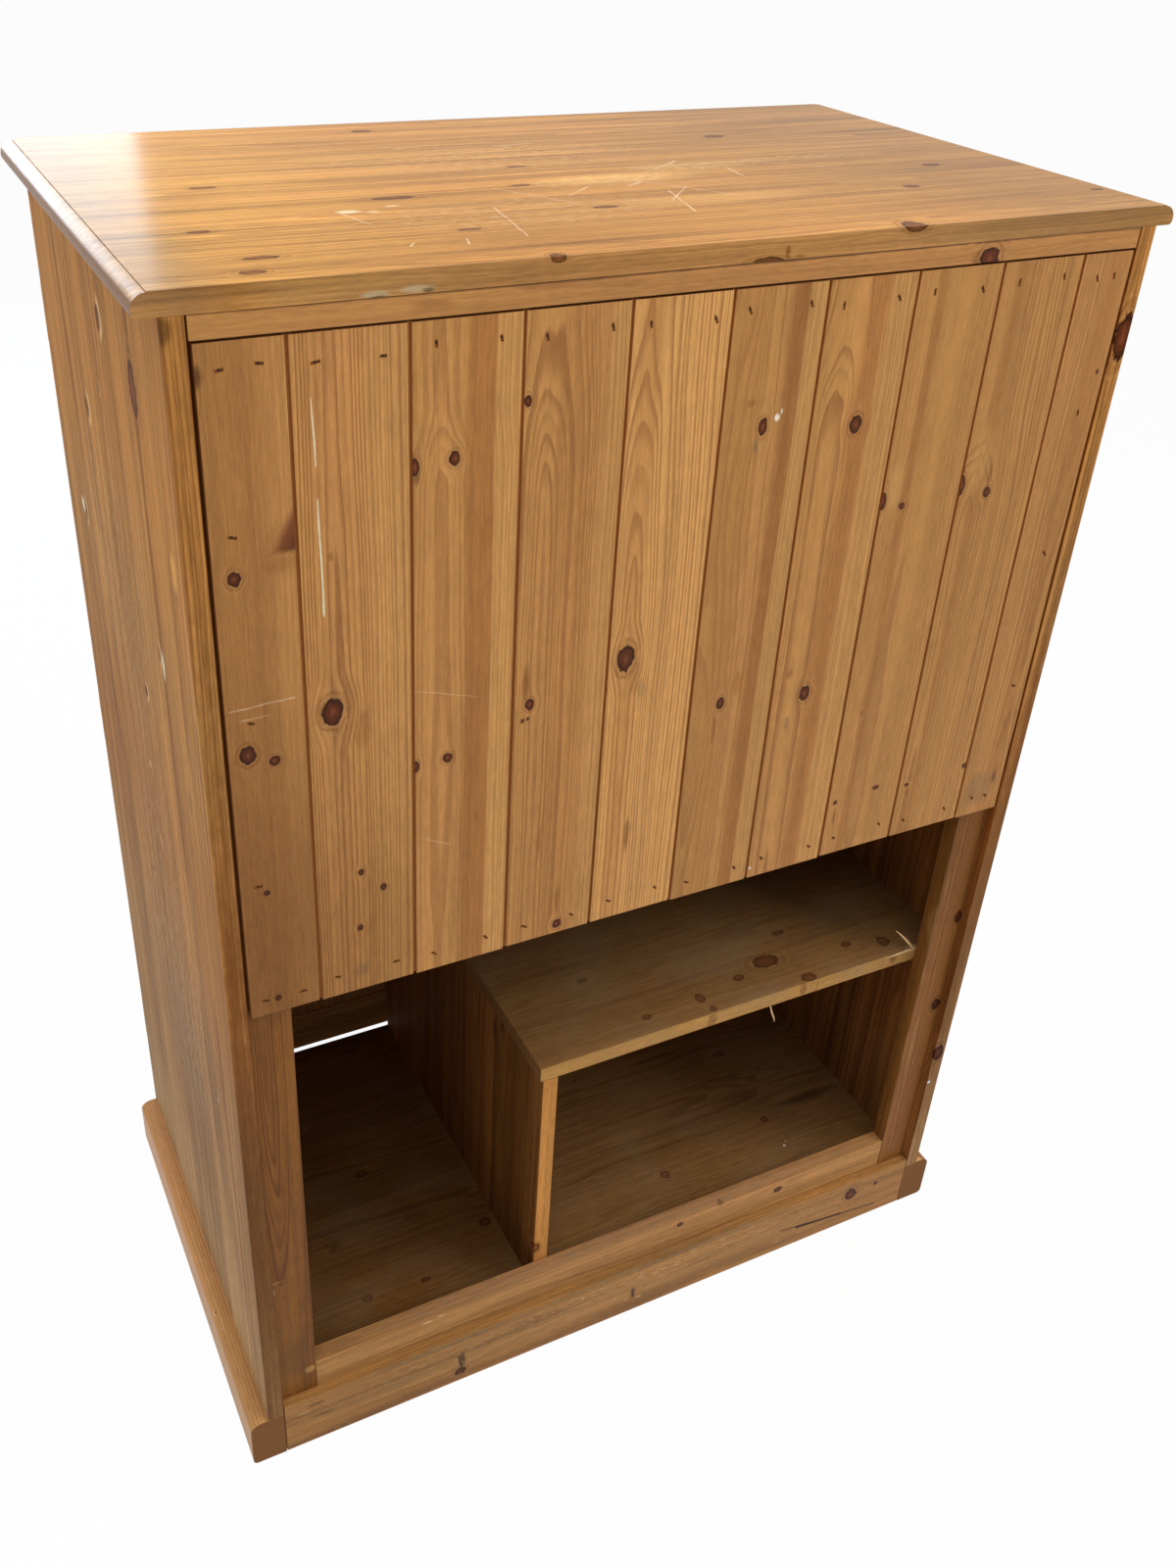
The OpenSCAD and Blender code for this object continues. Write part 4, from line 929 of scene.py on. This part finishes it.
creamPaint = flatPaint("cream_paint", screen(238, 222, 178), 0.35)
rawPine = flatPaint("raw_pine", screen(226, 186, 130), 0.6)
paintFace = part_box("back_board_2")[1].y / mm - strandLook["dripSunk"]
drips = {  # (across, along) and half width at each point of a run of paint
    "drip_high": [(353.5, 1252, 0.2), (353.2, 1235, 0.7), (352.2, 1212, 0.9), (352, 1193, 0.5)],
    "drip_low": [(351.6, 1171, 0.5), (351.8, 1150, 0.9), (351, 1120, 0.9), (350.6, 1090, 0.9),
                 (350.8, 1074, 1.3), (350.6, 1068, 0.4)],
}
for name, run in drips.items():
    route = [(x, paintFace, z) for x, z, halfWidth in run]
    piece = strand(name, route, [point[2] for point in run], strandLook["dripFlat"])
    paint(piece, creamPaint)
splinters = {  # place and half width at each point
    "splinter_shelf_a": [(-358, 257, 489, 0.2), (-370, 257.5, 477, 1), (-383, 258, 462, 1.7),
                         (-394, 258, 448, 0.6)],
    "splinter_shelf_b": [(-352, 258, 447, 0.3), (-366, 259, 449, 1.5), (-381, 260, 451, 1.5),
                         (-396, 259, 448, 0.3)],
    "splinter_under": [(-187, 255, 430, 0.8), (-190, 257, 418, 1.2), (-194, 258, 408, 0.9),
                       (-197, 256, 399, 0.2)],
    "crumb": [(-297, 199, 91, 0.4), (-299, 200, 91.6, 1.6), (-301, 199, 91, 0.5)],
}
for name, run in splinters.items():
    route = [point[:3] for point in run]
    piece = strand(name, route, [point[3] for point in run], strandLook["splinterFlat"])
    paint(piece, rawPine)
print("carcass ready")


# Doors

doorLook = {
    "slot": "door_pine", "specular": 0.2, "rough": 0.36, "tone": 0.97, "knotty": 0.75, "contrast": 0.95,
    "streaky": 0.45,
}
for side in ("left", "right"):
    for part in ("hinge_stile", "meeting_stile"):
        grown(f"{side}_{part}", "z", "y", False, knotCount=1, **doorLook)
    for part in ("top_rail", "middle_rail", "bottom_rail"):
        grown(f"{side}_{part}", "x", "y", False, knotCount=1 if part == "bottom_rail" else 0, **doorLook)
    for part in ("upper_panel", "lower_panel"):
        grown(f"{side}_{part}", "z", "y", False, ease=0.3, knotCount=3, strips=(-460, 95), **doorLook)
    grown(f"{side}_knob", "y", "z", slot="knob_pine", ease=0.3, tone=0.85, specular=0.4, rough=0.34)
print("doors ready")


# Metal and plastic

metalLook = {
    "brush": ((0.5, 0.5, 9), 5, 2),  # size, seed and detail
    "brushRelief": 0.15,
    "brushDeep": 0.2,
    "brushRough": 0.15,
    "tarnish": ((14, 14, 14), 3, 4),
    "tarnishFrom": (0.4, 0.72),
    "tarnishRough": 0.25,
}


def metal(name, tone, dark, rough, metallic=1.0):
    graph = Graph(bpy.data.materials.new(name))
    spot = graph.place()
    brush = graph.noise(spot, *metalLook["brush"])
    tarnish = graph.ramp(graph.noise(spot, *metalLook["tarnish"]), *metalLook["tarnishFrom"])
    colour = graph.mix(tarnish, tone, dark)
    rough = tarnish * metalLook["tarnishRough"] + brush * metalLook["brushRough"] + rough
    normal = graph.bump(brush, metalLook["brushRelief"], metalLook["brushDeep"] * mm)
    return graph.surface(colour=colour, metallic=metallic, roughness=rough, normal=normal)


brass = metal("aged_brass", screen(196, 160, 92), screen(128, 96, 52), 0.25)
steel = metal("bright_steel", screen(186, 186, 184), screen(140, 138, 134), 0.2)
screwSteel = metal("screw_steel", screen(170, 168, 162), screen(110, 104, 96), 0.3)
nailSteel = metal("nail_steel", screen(72, 58, 48), screen(44, 30, 22), 0.5, 0.8)
plastic = metal("catch_plastic", screen(96, 64, 42), screen(84, 54, 36), 0.45, 0.0)
fittings = {
    "hinge_brass": (brass, ["hinge_frame_leaves", "hinge_pins", "left_hinge_leaves", "right_hinge_leaves",
                            "hinge_frame_screws", "left_hinge_screws", "right_hinge_screws"]),
    "rail_steel": (steel, ["hanging_rail", "rail_sockets"]),
    "screw_steel": (screwSteel, ["left_knob_screw", "right_knob_screw",
                                 "left_strike_plate", "right_strike_plate"]),
    "nail_steel": (nailSteel, ["back_nails"]),
    "catch_plastic": (plastic, ["magnetic_catches"]),
}
for slot, (material, names) in fittings.items():
    for name in names:
        paint(nodes[name], material)
print("metal ready")


# Floor, light and camera

floorLook = {"half": 30, "tone": screen(240, 240, 240), "glow": 0.96}  # half its width in metres
floorShape = bmesh.new()
bmesh.ops.create_grid(floorShape, x_segments=1, y_segments=1, size=floorLook["half"])
floor = pieceFrom("floor", floorShape)
floorGraph = Graph(bpy.data.materials.new("pale_floor"))
pale = floorGraph.node("BsdfDiffuse", inputs={0: floorLook["tone"]})
white = floorGraph.node("Emission", inputs={0: (1, 1, 1, 1), 1: 1})
glow = floorGraph.seen() * floorLook["glow"]
floorSurface = floorGraph.node("MixShader", inputs={0: glow, 1: pale, 2: white})
floorGraph.node("OutputMaterial", inputs={0: floorSurface})
floor.data.materials.append(floorGraph.owner)

skyLevel = 0.27
world = bpy.data.worlds.new("studio")
scene.world = world
sky = Graph(world)
brightness = sky.seen() * (1 - skyLevel) + skyLevel
sky.node("OutputWorld", inputs={0: sky.node("Background", inputs={0: (1, 1, 1, 1), 1: brightness})})
lampLooks = {  # place, aim, size, watts and colour
    "above": ((0.4, 1.5, 3.8), (0, 0.1, 0.9), (3, 2.4), 36, (1, 1, 1)),
    "behind": ((-2.8, 2.6, 3.0), (0, 0.2, 1.0), (2, 2), 66, (1, 1, 1)),
    "overhead": ((0.3, 0.0, 4.2), (0, 0, 1.3), (2.2, 2.2), 58, (1, 1, 1)),
    "window": ((0.62, -4.2, 2.1), (0.42, 0, 1.2), (2.2, 1.8), 80, (0.72, 0.855, 1.0)),
    "aside": ((4.2, 0.3, 1.8), (0.4, 0, 0.8), (2, 2), 37, (1, 1, 1)),
}
for name, (place, aim, size, watts, colour) in lampLooks.items():
    lamp = bpy.data.objects.new(name, bpy.data.lights.new(name, "AREA"))
    lamp.data.shape = "RECTANGLE"
    lamp.data.size, lamp.data.size_y = size
    lamp.data.energy = watts
    lamp.data.color = colour
    lamp.location = place
    lamp.rotation_euler = (Vector(aim) - Vector(place)).to_track_quat("-Z", "Y").to_euler()
    lamp.visible_camera = False
    scene.collection.objects.link(lamp)

# Fitted to the photograph's straight edges: angles in degrees, focal length and centre in pixels
viewLook = {
    "eye": (0.66191, 1.26788, 1.60868),
    "heading": -152.583,
    "pitch": -32.003,
    "roll": 2.68,
    "focal": 1479.65,
    "centre": (551.5, 742.0),
    "photo": (1200, 1600),
    "sensor": 36,
    "nearest": 0.05,
}
heading, pitch, roll = (math.radians(viewLook[key]) for key in ("heading", "pitch", "roll"))
forward = Vector((math.sin(heading) * math.cos(pitch), math.cos(heading) * math.cos(pitch), math.sin(pitch)))
level = Vector((math.cos(heading), -math.sin(heading), 0))
right = level * math.cos(roll) + level.cross(forward) * math.sin(roll)
turn = Matrix((right, right.cross(forward), -forward)).transposed()
camera = bpy.data.objects.new("camera", bpy.data.cameras.new("camera"))
camera.matrix_world = Matrix.Translation(viewLook["eye"]) @ turn.to_4x4()
wide, tall = viewLook["photo"]
camera.data.sensor_width = viewLook["sensor"]
camera.data.lens = viewLook["focal"] / tall * viewLook["sensor"]
camera.data.shift_x = (wide / 2 - viewLook["centre"][0]) / tall
camera.data.shift_y = (viewLook["centre"][1] - tall / 2) / tall
camera.data.clip_start = viewLook["nearest"]
scene.collection.objects.link(camera)
scene.camera = camera
